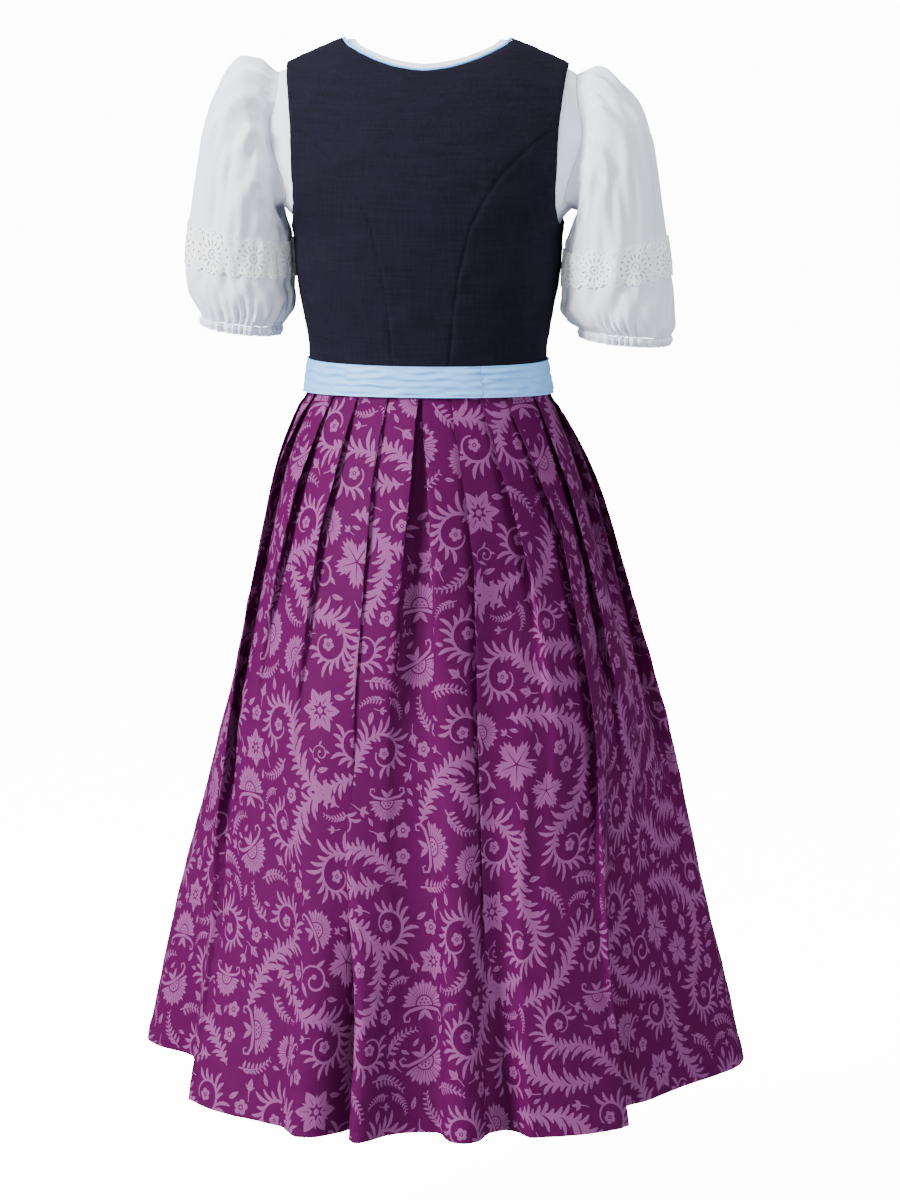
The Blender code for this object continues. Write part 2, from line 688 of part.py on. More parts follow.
def neck_quarter(side, away=0.0):
    """The right neckline of the back or the front, from its centre to the ridge."""
    loop = inset(neck_loop(), -away) if away else neck_loop()
    at_ridge = len(BACK_NECK) * NECK_SPANS
    at_front = at_ridge + len(FRONT_NECK) * NECK_SPANS
    part = loop[:at_ridge + 1] if side > 0 else list(reversed(loop[at_ridge:at_front + 1]))
    part[0] = (0.0, part[0][1])
    part[-1] = (part[-1][0], 0.0)
    return part


def make_neck_trim():
    loop = neck_loop()
    radius = PIPING_RADIUS
    rows = []
    for k in range(PIPING_SIDES):
        angle = math.tau * k / PIPING_SIDES
        away = radius + SEAM_INSET + PIPING_GAP
        shifted = inset(loop, away + radius * math.cos(angle))
        off = -LINEN / 2 + radius * math.sin(angle)
        rows.append([place_torso(u, v, off) for u, v in shifted])
    bm = bmesh.new()
    verts = [[bm.verts.new(p) for p in row] for row in rows]
    for k in range(PIPING_SIDES):
        for c in range(len(loop)):
            d = (c + 1) % len(loop)
            e = (k + 1) % PIPING_SIDES
            bm.faces.new([verts[k][c], verts[k][d], verts[e][d], verts[e][c]])
    finish("neck_piping", bm, LIGHT_BLUE)
    rings = [inset(loop, level) for level in NECKBAND_LEVELS]
    outer = [[place_torso(u, v, NECKBAND_OUTER) for u, v in ring] for ring in rings]
    inner = [[place_torso(u, v, NECKBAND_INNER) for u, v in ring] for ring in rings]
    grid_wall("blouse_neckband", outer, inner, WHITE, closed=True)


def make_buttons():
    """Six domed buttons down the centre front."""
    top = locate(0.0, TOP_BUTTON, -1)[1]
    foot = locate_low(0.0, -1, BAND_TOP, BAND_TOP_TILT)[1] + LAST_BUTTON_RISE
    for k in range(BUTTONS):
        t = mix(top, foot, k / (BUTTONS - 1))
        point = torso(0.0, t, 0.0)
        lifted = torso(0.0, t, 0.001)
        normal = (lifted - point).normalized()
        bm = bmesh.new()
        bmesh.ops.create_cone(
            bm, cap_ends=True, segments=12, radius1=BUTTON_RADIUS, radius2=BUTTON_RADIUS * 0.72,
            depth=BUTTON_DEPTH,
        )
        turn = Vector((0, 0, 1)).rotation_difference(normal)
        bmesh.ops.rotate(bm, verts=bm.verts, cent=(0, 0, 0), matrix=turn.to_matrix())
        bmesh.ops.translate(bm, verts=bm.verts, vec=point + normal * (BUTTON_DEPTH / 2 + BUTTON_STAND))
        finish("button_%d" % (k + 1), bm, PEWTER)


# Blouse

def make_blouse_body():
    for side, name in ((1, "blouse_back"), (-1, "blouse_front")):
        neck = neck_quarter(side, BLOUSE_NECK_AWAY)
        shoulder = between(neck[-1], ridge(BLOUSE_TIP), 6)
        hole = armhole(side, BLOUSE_ARMHOLE)
        under = locate_side(BLOUSE_UNDERARM, side)
        low = edge_low(math.pi / 2, 0.0, side, BLOUSE_LENGTH, 9)
        seam = between(under, low[0], 5)
        half = neck + shoulder + [ridge(BLOUSE_TIP)]
        half = half + hole + [under] + seam + low
        outline = [half[0]] + half[1:-1] + [half[-1]] + mirrored(reversed(half[1:-1]))
        cut_panel(name, outline, WHITE, BLOUSE_UNDER, COTTON, spacing=0.031)


# Sleeves

def armhole_ring():
    """The blouse's right armhole as a closed ring of points, from the ridge down the back."""
    back = [ridge(BLOUSE_TIP)] + armhole(1, BLOUSE_ARMHOLE) + [locate_side(BLOUSE_UNDERARM, 1)]
    front = [ridge(BLOUSE_TIP)] + armhole(-1, BLOUSE_ARMHOLE) + [locate_side(BLOUSE_UNDERARM, -1)]
    ring = [place_torso(u, v, BLOUSE_UNDER - COTTON / 2) for u, v in back]
    ring += [place_torso(u, v, BLOUSE_UNDER - COTTON / 2) for u, v in reversed(front[1:-1])]
    return ring


def along_ring(ring, count):
    """Points at even shares of the way down the back and then up the front of a ring."""
    half = len(ring) // 2
    halves = (ring[: half + 1], ring[half:] + ring[:1])
    points = []
    for part in halves:
        lengths = [0.0]
        for a, b in zip(part, part[1:]):
            lengths.append(lengths[-1] + (b - a).length)
        for k in range(count // 2):
            wanted = lengths[-1] * k / (count // 2)
            i = max(j for j in range(len(part) - 1) if lengths[j] <= wanted)
            f = (wanted - lengths[i]) / (lengths[i + 1] - lengths[i])
            points.append(part[i].lerp(part[i + 1], f))
    return points


def ring_point(ring, turn):
    """A point of a sleeve ring on the right: turn 0 is outermost, then it runs by the back."""
    centre_x, centre_z = (ring.out_x + ring.in_x) / 2, (ring.out_z + ring.in_z) / 2
    half_x, half_z = (ring.out_x - ring.in_x) / 2, (ring.out_z - ring.in_z) / 2
    gather = ring.gather * math.cos(SLEEVE_GATHERS * turn) * (0.35 + 0.65 * smooth(math.cos(turn) + 0.9))
    wide = 1 + gather / 0.055
    return Vector((
        centre_x + half_x * math.cos(turn) * wide,
        -ring.depth * math.sin(turn) * wide,
        centre_z + half_z * math.cos(turn) * wide,
    ))


def sleeve_rings(rows):
    count = SLEEVE_SEGMENTS
    seam = along_ring(armhole_ring(), count)
    rings = [[ring_point(row, math.tau * c / count) for c in range(count)] for row in rows]
    for k in (1, 2):
        beside = [point + Vector((HEAD_STEP * k, 0.0, 0.0)) for point in seam]
        rings[k] = [a.lerp(b, HEAD_BLEND[k]) for a, b in zip(rings[k], beside)]
    outward = [(b - a).normalized() for a, b in zip(seam, rings[1])]
    rings[0] = [point + way * SLEEVE_SEAM_GAP for point, way in zip(seam, outward)]
    return rings


def ring_normals(rings):
    """Outward normals of a stack of rings, from each point's neighbours."""
    rows, count = len(rings), len(rings[0])
    normals = []
    for r in range(rows):
        above, below = rings[max(r - 1, 0)], rings[min(r + 1, rows - 1)]
        line = []
        for c in range(count):
            round_it = rings[r][(c + 1) % count] - rings[r][c - 1]
            down = below[c] - above[c]
            line.append(round_it.cross(down).normalized())
        normals.append(line)
    middle = sum(rings[rows // 2], Vector()) / count
    if normals[rows // 2][0].dot(rings[rows // 2][0] - middle) < 0:
        normals = [[-n for n in line] for line in normals]
    return normals


def moved(rings, normals, off):
    return [[p + n * off for p, n in zip(ring, line)] for ring, line in zip(rings, normals)]


def flipped(grid, mirror):
    if not mirror:
        return grid
    return [[Vector((-p.x, p.y, p.z)) for p in row] for row in grid]


def make_sleeve(rows, word, mirror):
    rings = sleeve_rings(rows)
    normals = ring_normals(rings)
    outer = flipped(moved(rings, normals, COTTON / 2), mirror)
    inner = flipped(moved(rings, normals, -COTTON / 2), mirror)
    grid_wall("sleeve_" + word, outer, inner, WHITE, closed=True)
    make_lace(rings, normals, word, mirror)
    make_cuff(rings, word, mirror)


def make_lace(rings, normals, word, mirror):
    """A scalloped band on the sleeve, made from the sleeve's own points moved out."""
    count = len(rings[0])
    span = LACE_TO - LACE_FROM
    low = COTTON / 2 + LACE_LIFT
    grids = ([], [])
    for level in (0.0, 0.5, 1.0):
        line_out, line_in = [], []
        for c in range(count):
            scallop = 0.10 * abs(math.sin(LACE_WHEELS / 2 * math.tau * c / count))
            edge = {0.0: 0.08 - scallop, 0.5: 0.0, 1.0: -0.08 + scallop}[level]
            place = LACE_FROM + span * (level + edge)
            k = min(int(place), len(rings) - 2)
            f = place - k
            point = rings[k][c].lerp(rings[k + 1][c], f)
            normal = normals[k][c].lerp(normals[k + 1][c], f).normalized()
            line_in.append(point + normal * low)
            line_out.append(point + normal * (low + LACE_CLOTH))
        grids[0].append(line_out)
        grids[1].append(line_in)
    outer, inner = flipped(grids[0], mirror), flipped(grids[1], mirror)
    grid_wall("lace_" + word, outer, inner, LACE, closed=True)


def make_cuff(rings, word, mirror):
    """The gathered elastic casing at the sleeve's end, in short waves."""
    count = len(rings[-1])
    centre = sum(rings[-1], Vector()) / count
    across = (rings[-1][0] - rings[-1][count // 2]).normalized()
    drop = Vector((0, -1, 0)).cross(across)
    drop = drop if drop.z < 0 else -drop
    outer, inner = [], []
    for level, grow in ((0.0, 1.0), (0.35, 1.03), (1.0, 0.985)):
        line_out, line_in = [], []
        for c in range(count):
            away = rings[-1][c] - centre
            wave = CUFF_WAVE * (1 if c % 2 else -1) * (0.3 + 0.7 * level)
            base = centre + away * grow + drop * (0.0009 + CUFF_HEIGHT * level)
            line_out.append(base + away.normalized() * (CUFF_WALL / 2 + wave))
            line_in.append(base + away.normalized() * (-CUFF_WALL / 2 + wave))
        outer.append(line_out)
        inner.append(line_in)
    grid_wall("cuff_" + word, flipped(outer, mirror), flipped(inner, mirror), WHITE, closed=True)


# Skirt

def base_at(v):
    """Height and plan sizes of the skirt's base oval at share v of its length."""
    z = mix(WAIST_SEAM, HEM, v)
    return z, SKIRT_CURVE.at(-z, "half_width"), SKIRT_CURVE.at(-z, "back"), SKIRT_CURVE.at(-z, "front")


ARC_STEPS = 180
ARC_TABLES = {}


def plan_point(angle, sizes):
    """A point of a base oval: angle 0 is the centre back, +90 degrees the right side."""
    _, wide, back, front = sizes
    c = math.cos(angle)
    depth = back if c > 0 else front
    return wide * math.sin(angle), -math.copysign(depth * abs(c) ** SKIRT_POWER, c)


def arc_table(v):
    """Shares of the half round at even angles, so that a share gives its angle."""
    key = round(v, 4)
    if key not in ARC_TABLES:
        sizes = base_at(v)
        points = [plan_point(math.pi * k / ARC_STEPS, sizes) for k in range(ARC_STEPS + 1)]
        lengths = [0.0]
        for a, b in zip(points, points[1:]):
            lengths.append(lengths[-1] + math.hypot(b[0] - a[0], b[1] - a[1]))
        ARC_TABLES[key] = lengths
    return ARC_TABLES[key]


def angle_of_share(share, v):
    """The plan angle at a signed share of the half round from the centre back."""
    lengths = arc_table(v)
    wanted = min(abs(share), 1.0) * lengths[-1]
    low, high = 0, ARC_STEPS
    while high - low > 1:
        middle = (low + high) // 2
        if lengths[middle] <= wanted:
            low = middle
        else:
            high = middle
    f = (wanted - lengths[low]) / (lengths[high] - lengths[low])
    return math.copysign(math.pi * (low + f) / ARC_STEPS, share)


def on_base(share, v, stand):
    """A point at a share of the half round, standing off the base oval."""
    sizes = base_at(v)
    share = (share + 1) % 2 - 1 if abs(share) > 1 else share
    angle = angle_of_share(share, v)
    x, y = plan_point(angle, sizes)
    ahead = plan_point(angle + 0.01, sizes)
    behind = plan_point(angle - 0.01, sizes)
    tangent = Vector((ahead[0] - behind[0], ahead[1] - behind[1])).normalized()
    x += tangent.y * stand
    y -= tangent.x * stand
    drift = HEM_DRIFT * v ** 0.65 * smooth(v / 0.15)
    z = sizes[0] - WAIST_TILT * y * (1 - v) ** 3
    return Vector((x + drift, y, z))


def edges(left):
    """The pleats' edges on one side, the first just off the centre back."""
    flats = [edge.left if left else edge.right for edge in EDGES]
    return [CENTRE_GAP] + flats[1:]


EDGES_LEFT = edges(True)
EDGES_RIGHT = edges(False)


def pleat_of(u):
    """Which pleat flat cloth u belongs to, and how far across it, from 0 to 1."""
    away = abs(u)
    flats = EDGES_LEFT if u < 0 else EDGES_RIGHT
    if away < flats[0]:
        return -1, away / flats[0]
    index = 0
    while index < PLEATS_A_SIDE - 1 and away >= flats[index + 1]:
        index += 1
    return index, (away - flats[index]) / (flats[index + 1] - flats[index])


def edge_height(index, left, v):
    """Half height of the wave at a pleat's edge, fading where that edge ends."""
    reach = EDGES[index].left_reach if left else EDGES[index].right_reach
    fade = 0.30 + 0.70 * (1 - smooth((v - reach * 0.45) / (reach * 0.55)))
    return WAVE_CURVE.at(v, "height") * fade


def pleat_wave(u, v):
    """How far out flat cloth u stands at share v because of its pleat."""
    index, q = pleat_of(u)
    left = u < 0
    if index < 0:
        return edge_height(0, left, v) * (2 * q - 1)
    rise = WAVE_CURVE.at(v, "rise")
    here = edge_height(index, left, v)
    following = edge_height(index + 1, left, v)
    if index == PLEATS_A_SIDE - 1:
        return mix(here, -following, smooth(q))
    if q < 1 - rise:
        return mix(here, -following, smooth(q / (1 - rise)) * 0.6 + 0.4 * q / (1 - rise))
    return mix(-following, following, smooth((q - 1 + rise) / rise))


def share_of(u, v):
    """Where flat cloth u lies along the half round at share v, as a signed share."""
    index, q = pleat_of(u)
    away = abs(u)
    even = away / HALF_WIDTH_FLAT
    knife = even
    if index >= 0:
        rise = WAVE_CURVE.at(0.0, "rise")
        knife = (index + min(q / (1 - rise), 1.0) * 0.985 + 0.015 * smooth((q - 1 + rise) / rise))
        knife /= PLEATS_A_SIDE
        knife = max(knife, 0.004)
    top = mix(knife, even, smooth(v / 0.30))
    curve = HEM_LEFT_CURVE if u < 0 else HEM_RIGHT_CURVE
    low = curve.at(away, "along") / HEM_HALF_ROUND
    return math.copysign(mix(top, low, v ** 1.5), u)


def skirt_stand(u, v):
    curve = HEM_LEFT_CURVE if u < 0 else HEM_RIGHT_CURVE
    return pleat_wave(u, v) + curve.at(abs(u), "out") * v ** 1.25


def skirt_columns():
    """Flat places of the skirt's columns, all round, with the pleats' edges among them."""
    sides = []
    for flats in (EDGES_LEFT, EDGES_RIGHT):
        line = []
        for here, following in zip(flats, flats[1:]):
            line += [mix(here, following, q) for q in PLEAT_SAMPLES]
        sides.append(line + [flats[-1]])
    return [-u for u in reversed(sides[0])] + [0.0] + sides[1]


def skirt_ring(columns, v):
    return [on_base(share_of(u, v), v, skirt_stand(u, v)) for u in columns]


def thickened(ring, wall):
    """The ring moved in, in plan, by the wall's thickness; its ends meet at the front."""
    inner = []
    count = len(ring)
    for c, point in enumerate(ring):
        before = ring[c - 1] if c > 0 else ring[-2]
        after = ring[c + 1] if c < count - 1 else ring[1]
        one = Vector((point.x - before.x, point.y - before.y)).normalized()
        two = Vector((after.x - point.x, after.y - point.y)).normalized()
        inward = Vector((-one.y - two.y, one.x + two.x))
        length = max(inward.length_squared / 2, 0.55)
        inner.append(point + Vector((inward.x, inward.y, 0)) * (wall / length))
    return inner


def make_skirt():
    columns = skirt_columns()
    outer, inner = [], []
    for v in SKIRT_ROWS:
        at = v if v > 0 else 0.0008
        ring = skirt_ring(columns, at)
        outer.append(ring)
        inner.append(thickened(ring, SKIRT_CLOTH))
    left_seam = columns.index(-EDGES_LEFT[SEAM_EDGE])
    right_seam = columns.index(EDGES_RIGHT[SEAM_EDGE])
    spans = (
        ("skirt_left", 0, left_seam), ("skirt_back", left_seam, right_seam),
        ("skirt_right", right_seam, len(columns) - 1),
    )
    for name, first, last in spans:
        grid_wall(name, trimmed(outer, first, last), trimmed(inner, first, last), MAGENTA)


def trimmed(grid, first, last):
    """Columns first to last of a grid, drawn in a hair at both ends for the seam."""
    cut = []
    for row in grid:
        line = [p.copy() for p in row[first:last + 1]]
        line[0] += (line[1] - line[0]).normalized() * SEAM_INSET
        line[-1] += (line[-2] - line[-1]).normalized() * SEAM_INSET
        cut.append(line)
    return cut


# Apron

def make_apron_panel():
    outer, inner = [], []
    for row in APRON:
        line_out, line_in = [], []
        for c in range(APRON_COLUMNS + 1):
            w = mix(-1.0, 1.0, c / APRON_COLUMNS)
            share = w * row.half_span
            share = math.copysign(1.0, share if share else 1.0) - share
            wave = row.wave * math.cos(math.pi * APRON_WAVES * w)
            stand = row.stand + wave
            line_out.append(on_base(share, row.v, stand + APRON_CLOTH))
            line_in.append(on_base(share, row.v, stand))
        outer.append(line_out)
        inner.append(line_in)
    grid_wall("apron_panel", outer, inner, LIGHT_BLUE)


def band_point(angle, height, lift):
    """A point of the waist band: angle 0 is the centre back, height 0 its top edge, 1 its foot."""
    bend = (angle + math.pi) % math.tau - math.pi
    back = math.cos(bend) > 0
    theta = math.asin(math.sin(bend) * 0.999999)
    level = mix(BAND_TOP, BAND_BOTTOM, height)
    tilt = mix(BAND_TOP_TILT, BAND_BOTTOM_TILT, height)
    _, t = locate_low(theta, 1 if back else -1, level, tilt)
    return torso(theta, t, mix(BAND_LIFT_TOP, BAND_LIFT_BOTTOM, height) + lift)


def make_band(name, angle_from, angle_to, count, look=LIGHT_BLUE):
    outer, inner = [], []
    for height in (0.0, 0.5, 1.0):
        angles = [mix(angle_from, angle_to, c / count) for c in range(count + 1)]
        outer.append([band_point(a, height, RIBBON) for a in angles])
        inner.append([band_point(a, height, 0.0) for a in angles])
    outer, inner = trimmed(outer, 0, count), trimmed(inner, 0, count)
    grid_wall(name, outer, inner, look)


def make_bands():
    half = math.radians(BAND_APRON_HALF_ANGLE)
    join = math.asin(TIE_JOIN_X / SKIRT[0].half_width)
    make_band("apron_waistband", math.pi - half, math.pi + half, 22)
    make_band("apron_tie_left", math.pi + half - math.tau, join, 24)
    make_band("apron_tie_right", join, math.pi - half, 12)


def bow_point(along, out, height):
    """A point near the bow: along the waist, out from the band, and up from its middle."""
    lengths = arc_table(BOW_LEVEL)
    share = 1.0 - math.radians(abs(BOW_ANGLE)) / math.pi
    start = -share * lengths[-1]
    point = on_base((start + along) / lengths[-1], BOW_LEVEL, out)
    tilt = (BAND_TOP_TILT + BAND_BOTTOM_TILT) / 2
    middle = (BAND_TOP + BAND_BOTTOM) / 2 - tilt * point.y
    return Vector((point.x, point.y, middle + height))


def make_bow():
    wide, deep, high = KNOT
    bm = bmesh.new()
    sections = ((-0.5, 0.70), (-0.3, 1.0), (0.3, 1.0), (0.5, 0.70))
    rows = []
    for level, grow in sections:
        ring = []
        for k in range(10):
            turn = math.tau * k / 10
            along = wide / 2 * math.cos(turn) * grow
            out = BOW_STAND + deep / 2 + deep / 2 * math.sin(turn) * grow
            ring.append(bm.verts.new(bow_point(along, out, level * high)))
        rows.append(ring)
    for upper, lower in zip(rows, rows[1:]):
        for k in range(10):
            bm.faces.new([upper[k], upper[(k + 1) % 10], lower[(k + 1) % 10], lower[k]])
    bm.faces.new(rows[0])
    bm.faces.new(list(reversed(rows[-1])))
    finish("bow_knot", bm, LIGHT_BLUE)
    for word, way in (("left", -1), ("right", 1)):
        make_loop("bow_loop_" + word, way)
        make_tail("bow_tail_" + word, way)


def make_loop(name, way):
    """One loop of the bow: a ribbon bent into a drop shape."""
    count = 16
    outer, inner = [], []
    for level in (0.5, 0.0, -0.5):
        line_out, line_in = [], []
        for k in range(count):
            turn = math.tau * k / count
            share = (1 - math.cos(turn)) / 2
            swell = math.sin(turn) * (0.30 + 0.70 * share)
            along = KNOT[0] / 2 + LOOP_GAP + LOOP_LENGTH * share
            centre_out = BOW_STAND + LOOP_STAND + LOOP_REACH * share
            out = centre_out + LOOP_SWELL * swell
            height = LOOP_WIDTH * level * (0.62 + 0.38 * smooth(share * 1.5)) - 0.014 * share ** 2
            thin_along = along - (RIBBON if share > 0.5 else -RIBBON) * abs(math.cos(turn))
            thin_out = out - math.copysign(RIBBON, out - centre_out) * abs(math.sin(turn))
            line_out.append(bow_point(way * along, out, height))
            line_in.append(bow_point(way * thin_along, thin_out, height))
        outer.append(line_out)
        inner.append(line_in)
    grid_wall(name, outer, inner, LIGHT_BLUE, closed=True)


def make_tail(name, way):
    """One hanging end of the bow, outside the apron, widening downwards."""
    outer, inner = [], []
    start = 1.0 - math.radians(abs(BOW_ANGLE)) / math.pi
    for r in range(TAIL_ROWS + 1):
        f = r / TAIL_ROWS
        v = mix(TAIL_TOP, TAIL_SHARE + (TAIL_UNEVEN if way > 0 else 0.0), f)
        half = arc_table(v)[-1]
        centre = -start * half + way * mix(0.0105, 0.034, f ** 0.8)
        width = mix(0.016, 0.036, smooth(f * 3))
        stand = APRON_CURVE.at(v, "stand") + APRON_CURVE.at(v, "wave") + TAIL_LIFT
        line_out, line_in = [], []
        for c in (-0.5, -0.17, 0.17, 0.5):
            ripple = 0.0016 * math.cos(math.tau * (c + 0.2)) * (1 - f)
            share = (centre + c * width) / half
            line_out.append(on_base(share, v, stand + ripple + RIBBON))
            line_in.append(on_base(share, v, stand + ripple))
        outer.append(line_out)
        inner.append(line_in)
    grid_wall(name, outer, inner, LIGHT_BLUE)


def main():
    for item in list(bpy.data.objects):
        bpy.data.objects.remove(item, do_unlink=True)
    make_bodice()
    make_neck_trim()
    make_buttons()
    make_blouse_body()
    make_sleeve(SLEEVE_LEFT, "left", mirror=True)
    make_sleeve(SLEEVE_RIGHT, "right", mirror=False)
    make_skirt()
    make_apron_panel()
    make_bands()
    make_bow()


main()
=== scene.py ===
"""Looks of a dirndl set worn by nobody: bodice, pleated skirt, blouse and apron.

Frame: metres, +Z up. The wearer would face +Y, so the back of the dress faces -Y and the
wearer's right is +X. The torso is one surface in two directions: theta runs across it and t
runs down it from the ridge of the shoulders, positive down the back. The skirt is flat cloth,
with u across it from the centre back and v down it from the waist, laid into pleats.
"""

from __future__ import annotations

import json
import logging
import math
from dataclasses import dataclass, field
from enum import Enum
from typing import NamedTuple, Sequence, Union

import bpy
import numpy as np
from mathutils import Matrix, Vector
from mathutils.geometry import delaunay_2d_cdt

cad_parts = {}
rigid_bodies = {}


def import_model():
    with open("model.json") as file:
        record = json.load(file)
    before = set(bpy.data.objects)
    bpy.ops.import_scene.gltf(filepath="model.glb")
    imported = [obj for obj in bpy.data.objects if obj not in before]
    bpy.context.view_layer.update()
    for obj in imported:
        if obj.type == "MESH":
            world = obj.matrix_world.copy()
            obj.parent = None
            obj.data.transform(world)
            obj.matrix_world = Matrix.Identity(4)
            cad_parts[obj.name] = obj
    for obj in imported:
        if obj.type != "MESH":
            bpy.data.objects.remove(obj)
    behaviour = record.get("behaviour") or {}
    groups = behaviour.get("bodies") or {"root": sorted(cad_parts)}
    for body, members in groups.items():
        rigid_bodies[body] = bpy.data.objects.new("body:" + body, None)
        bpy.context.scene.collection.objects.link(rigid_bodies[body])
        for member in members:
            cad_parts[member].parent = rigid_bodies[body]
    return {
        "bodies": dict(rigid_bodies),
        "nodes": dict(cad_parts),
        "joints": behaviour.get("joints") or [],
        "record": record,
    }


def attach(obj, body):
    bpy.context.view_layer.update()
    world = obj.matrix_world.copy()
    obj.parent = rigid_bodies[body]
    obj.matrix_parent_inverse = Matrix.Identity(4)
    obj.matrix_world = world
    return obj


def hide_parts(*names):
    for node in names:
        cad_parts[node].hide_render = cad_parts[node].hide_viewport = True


Array = np.ndarray
Colour = tuple[float, float, float]
Spot = tuple[float, float]
Path = Sequence[Spot]
LOG = logging.getLogger("dirndl")

# Sizes that the pieces share, as the solids have them
LINEN = 0.0016
COTTON = 0.0010
RIBBON = 0.0015
BLOUSE_UNDER = -0.0067
WAIST_TILT = 0.080
WAIST_SEAM = -0.3360
BAND_TOP = -0.3172
BAND_TOP_TILT = 0.055
HEM = -1.0900
SKIRT_LENGTH = WAIST_SEAM - HEM
HALF_WIDTH_FLAT = 1.140
ACROSS_SCALE = 0.150
NECK_POINT = 0.0905


class Section(NamedTuple):
    """One torso section; the powers square it (below 1) or point it (above 1)."""

    z: float
    half_width: float
    back: float
    front: float
    back_power: float
    front_power: float


TORSO = [Section(*row) for row in (
    (0.0240, 0.2050, 0.0000, 0.0000, 1.48, 1.40), (0.0215, 0.2050, 0.0160, 0.0150, 1.48, 1.40),
    (0.0145, 0.2050, 0.0310, 0.0270, 1.48, 1.40), (0.0030, 0.2050, 0.0460, 0.0380, 1.48, 1.40),
    (-0.0150, 0.2050, 0.0600, 0.0490, 1.48, 1.38), (-0.0400, 0.2050, 0.0740, 0.0630, 1.48, 1.34),
    (-0.0700, 0.2030, 0.0870, 0.0790, 1.48, 1.30), (-0.1100, 0.1950, 0.0990, 0.0980, 1.44, 1.22),
    (-0.1350, 0.1820, 0.1030, 0.1090, 1.32, 1.14), (-0.1550, 0.1640, 0.1050, 0.1170, 1.14, 1.02),
    (-0.1700, 0.1490, 0.1058, 0.1210, 1.02, 0.94), (-0.1850, 0.1430, 0.1060, 0.1230, 0.97, 0.88),
    (-0.2050, 0.1420, 0.1060, 0.1220, 0.93, 0.86), (-0.2320, 0.1396, 0.1050, 0.1180, 0.91, 0.86),
    (-0.2590, 0.1345, 0.1035, 0.1120, 0.90, 0.87), (-0.2850, 0.1300, 0.1020, 0.1060, 0.90, 0.88),
    (-0.3115, 0.1260, 0.1010, 0.1020, 0.90, 0.90), (-0.3400, 0.1255, 0.1010, 0.1000, 0.90, 0.90),
    (-0.3750, 0.1290, 0.1030, 0.1010, 0.90, 0.90),
)]


class Place(NamedTuple):
    """A place on the torso, seen from the back or the front."""

    x: float
    z: float


BACK_NECK = [Place(*row) for row in (
    (0.0, -0.0088), (0.0200, -0.0068), (0.0380, -0.0030), (0.0560, 0.0030), (0.0730, 0.0105),
    (0.0850, 0.0170),
)]
FRONT_NECK = [Place(*row) for row in (
    (0.0945, 0.0060), (0.0985, -0.0130), (0.1000, -0.0450), (0.0950, -0.0780), (0.0780, -0.1040),
    (0.0450, -0.1170), (0.0, -0.1210),
)]


def mix(a: Array | float, b: Array | float, f: Array | float) -> Array | float:
    """The value a share f of the way from a to b."""
    return a + (b - a) * f


def smooth(x: Array | float) -> Array | float:
    """0 below 0, 1 above 1, and a soft step between."""
    x = np.clip(x, 0.0, 1.0)
    return x * x * (3 - 2 * x)


def bump(x: Array | float, centre: Array | float, width: float) -> Array | float:
    """A round hump of height 1 at the centre, fading out over the width."""
    return np.exp(-(((x - centre) / width) ** 2))


def unit(vectors: Array) -> Array:
    """The vectors, each one unit long."""
    return vectors / np.maximum(np.linalg.norm(vectors, axis=-1, keepdims=True), 1e-12)


def softened(values: Array, sigma: float, mode: str = "reflect") -> Array:
    """Values averaged along the last axis by a bell curve.

    Args:
        values: numbers along the last axis.
        sigma: width of the bell, in steps.
        mode: how the ends are continued, as numpy's pad names it.

    Returns:
        The averaged values, as many as before.
    """
    reach = max(int(3 * sigma), 1)
    weights = np.exp(-0.5 * (np.arange(-reach, reach + 1) / sigma) ** 2)
    weights /= weights.sum()
    padding = [(0, 0)] * (values.ndim - 1) + [(reach, reach)]
    options = {"reflect_type": "odd"} if mode == "reflect" else {}
    padded = np.pad(values, padding, mode=mode, **options)
    if values.ndim == 1:
        return np.convolve(padded, weights, mode="valid")
    return np.stack([np.convolve(line, weights, mode="valid") for line in padded])


class Curve:
    """Smooth monotone curves through the columns of a table."""

    def __init__(self, rows: Sequence[NamedTuple], keys: Sequence[float], even: Sequence[str] = ()) -> None:
        """Works out the slope of each column at each key.

        Args:
            rows: the table.
            keys: where along the curve each row lies, rising.
            even: columns that start level.
        """
        self.keys = np.array(keys, float)
        names = rows[0]._fields
        self.values = {name: np.array([getattr(row, name) for row in rows], float) for name in names}
        self.slopes = {name: self.work_out(column, name in even) for name, column in self.values.items()}

    def work_out(self, column: Array, even: bool) -> Array:
        """The slopes that keep a column's curve from overshooting."""
        steps = np.diff(column) / np.diff(self.keys)
        before, after = steps[:-1], steps[1:]
        turning = before * after <= 0
        inner = np.where(turning, 0.0, 2 * before * after / np.where(turning, 1.0, before + after))
        return np.concatenate([[0.0 if even else steps[0]], inner, [steps[-1]]])

    def at(self, key: Array | float, column: str) -> Array:
        """The column's values at the given keys."""
        key = np.clip(key, self.keys[0], self.keys[-1])
        i = np.clip(np.searchsorted(self.keys, key, side="left") - 1, 0, len(self.keys) - 2)
        span = self.keys[i + 1] - self.keys[i]
        f = (key - self.keys[i]) / span
        value, slope = self.values[column], self.slopes[column]
        return (
            (1 + 2 * f) * (1 - f) ** 2 * value[i] + f * (1 - f) ** 2 * span * slope[i]
            + f * f * (3 - 2 * f) * value[i + 1] + f * f * (f - 1) * span * slope[i + 1]
        )


def hermite(f: Array | float, start: Array, leaving: Array, end: Array, arriving: Array) -> Array:
    """A smooth span at a share f of it, from its two ends and its slopes there."""
    return (
        start * (1 + 2 * f) * (1 - f) ** 2 + leaving * f * (1 - f) ** 2
        + end * f * f * (3 - 2 * f) + arriving * f * f * (f - 1)
    )


def running_lengths(points: Array) -> Array:
    """How far each point of a path lies from its start."""
    return np.concatenate([[0.0], np.cumsum(np.linalg.norm(np.diff(points, axis=0), axis=1))])


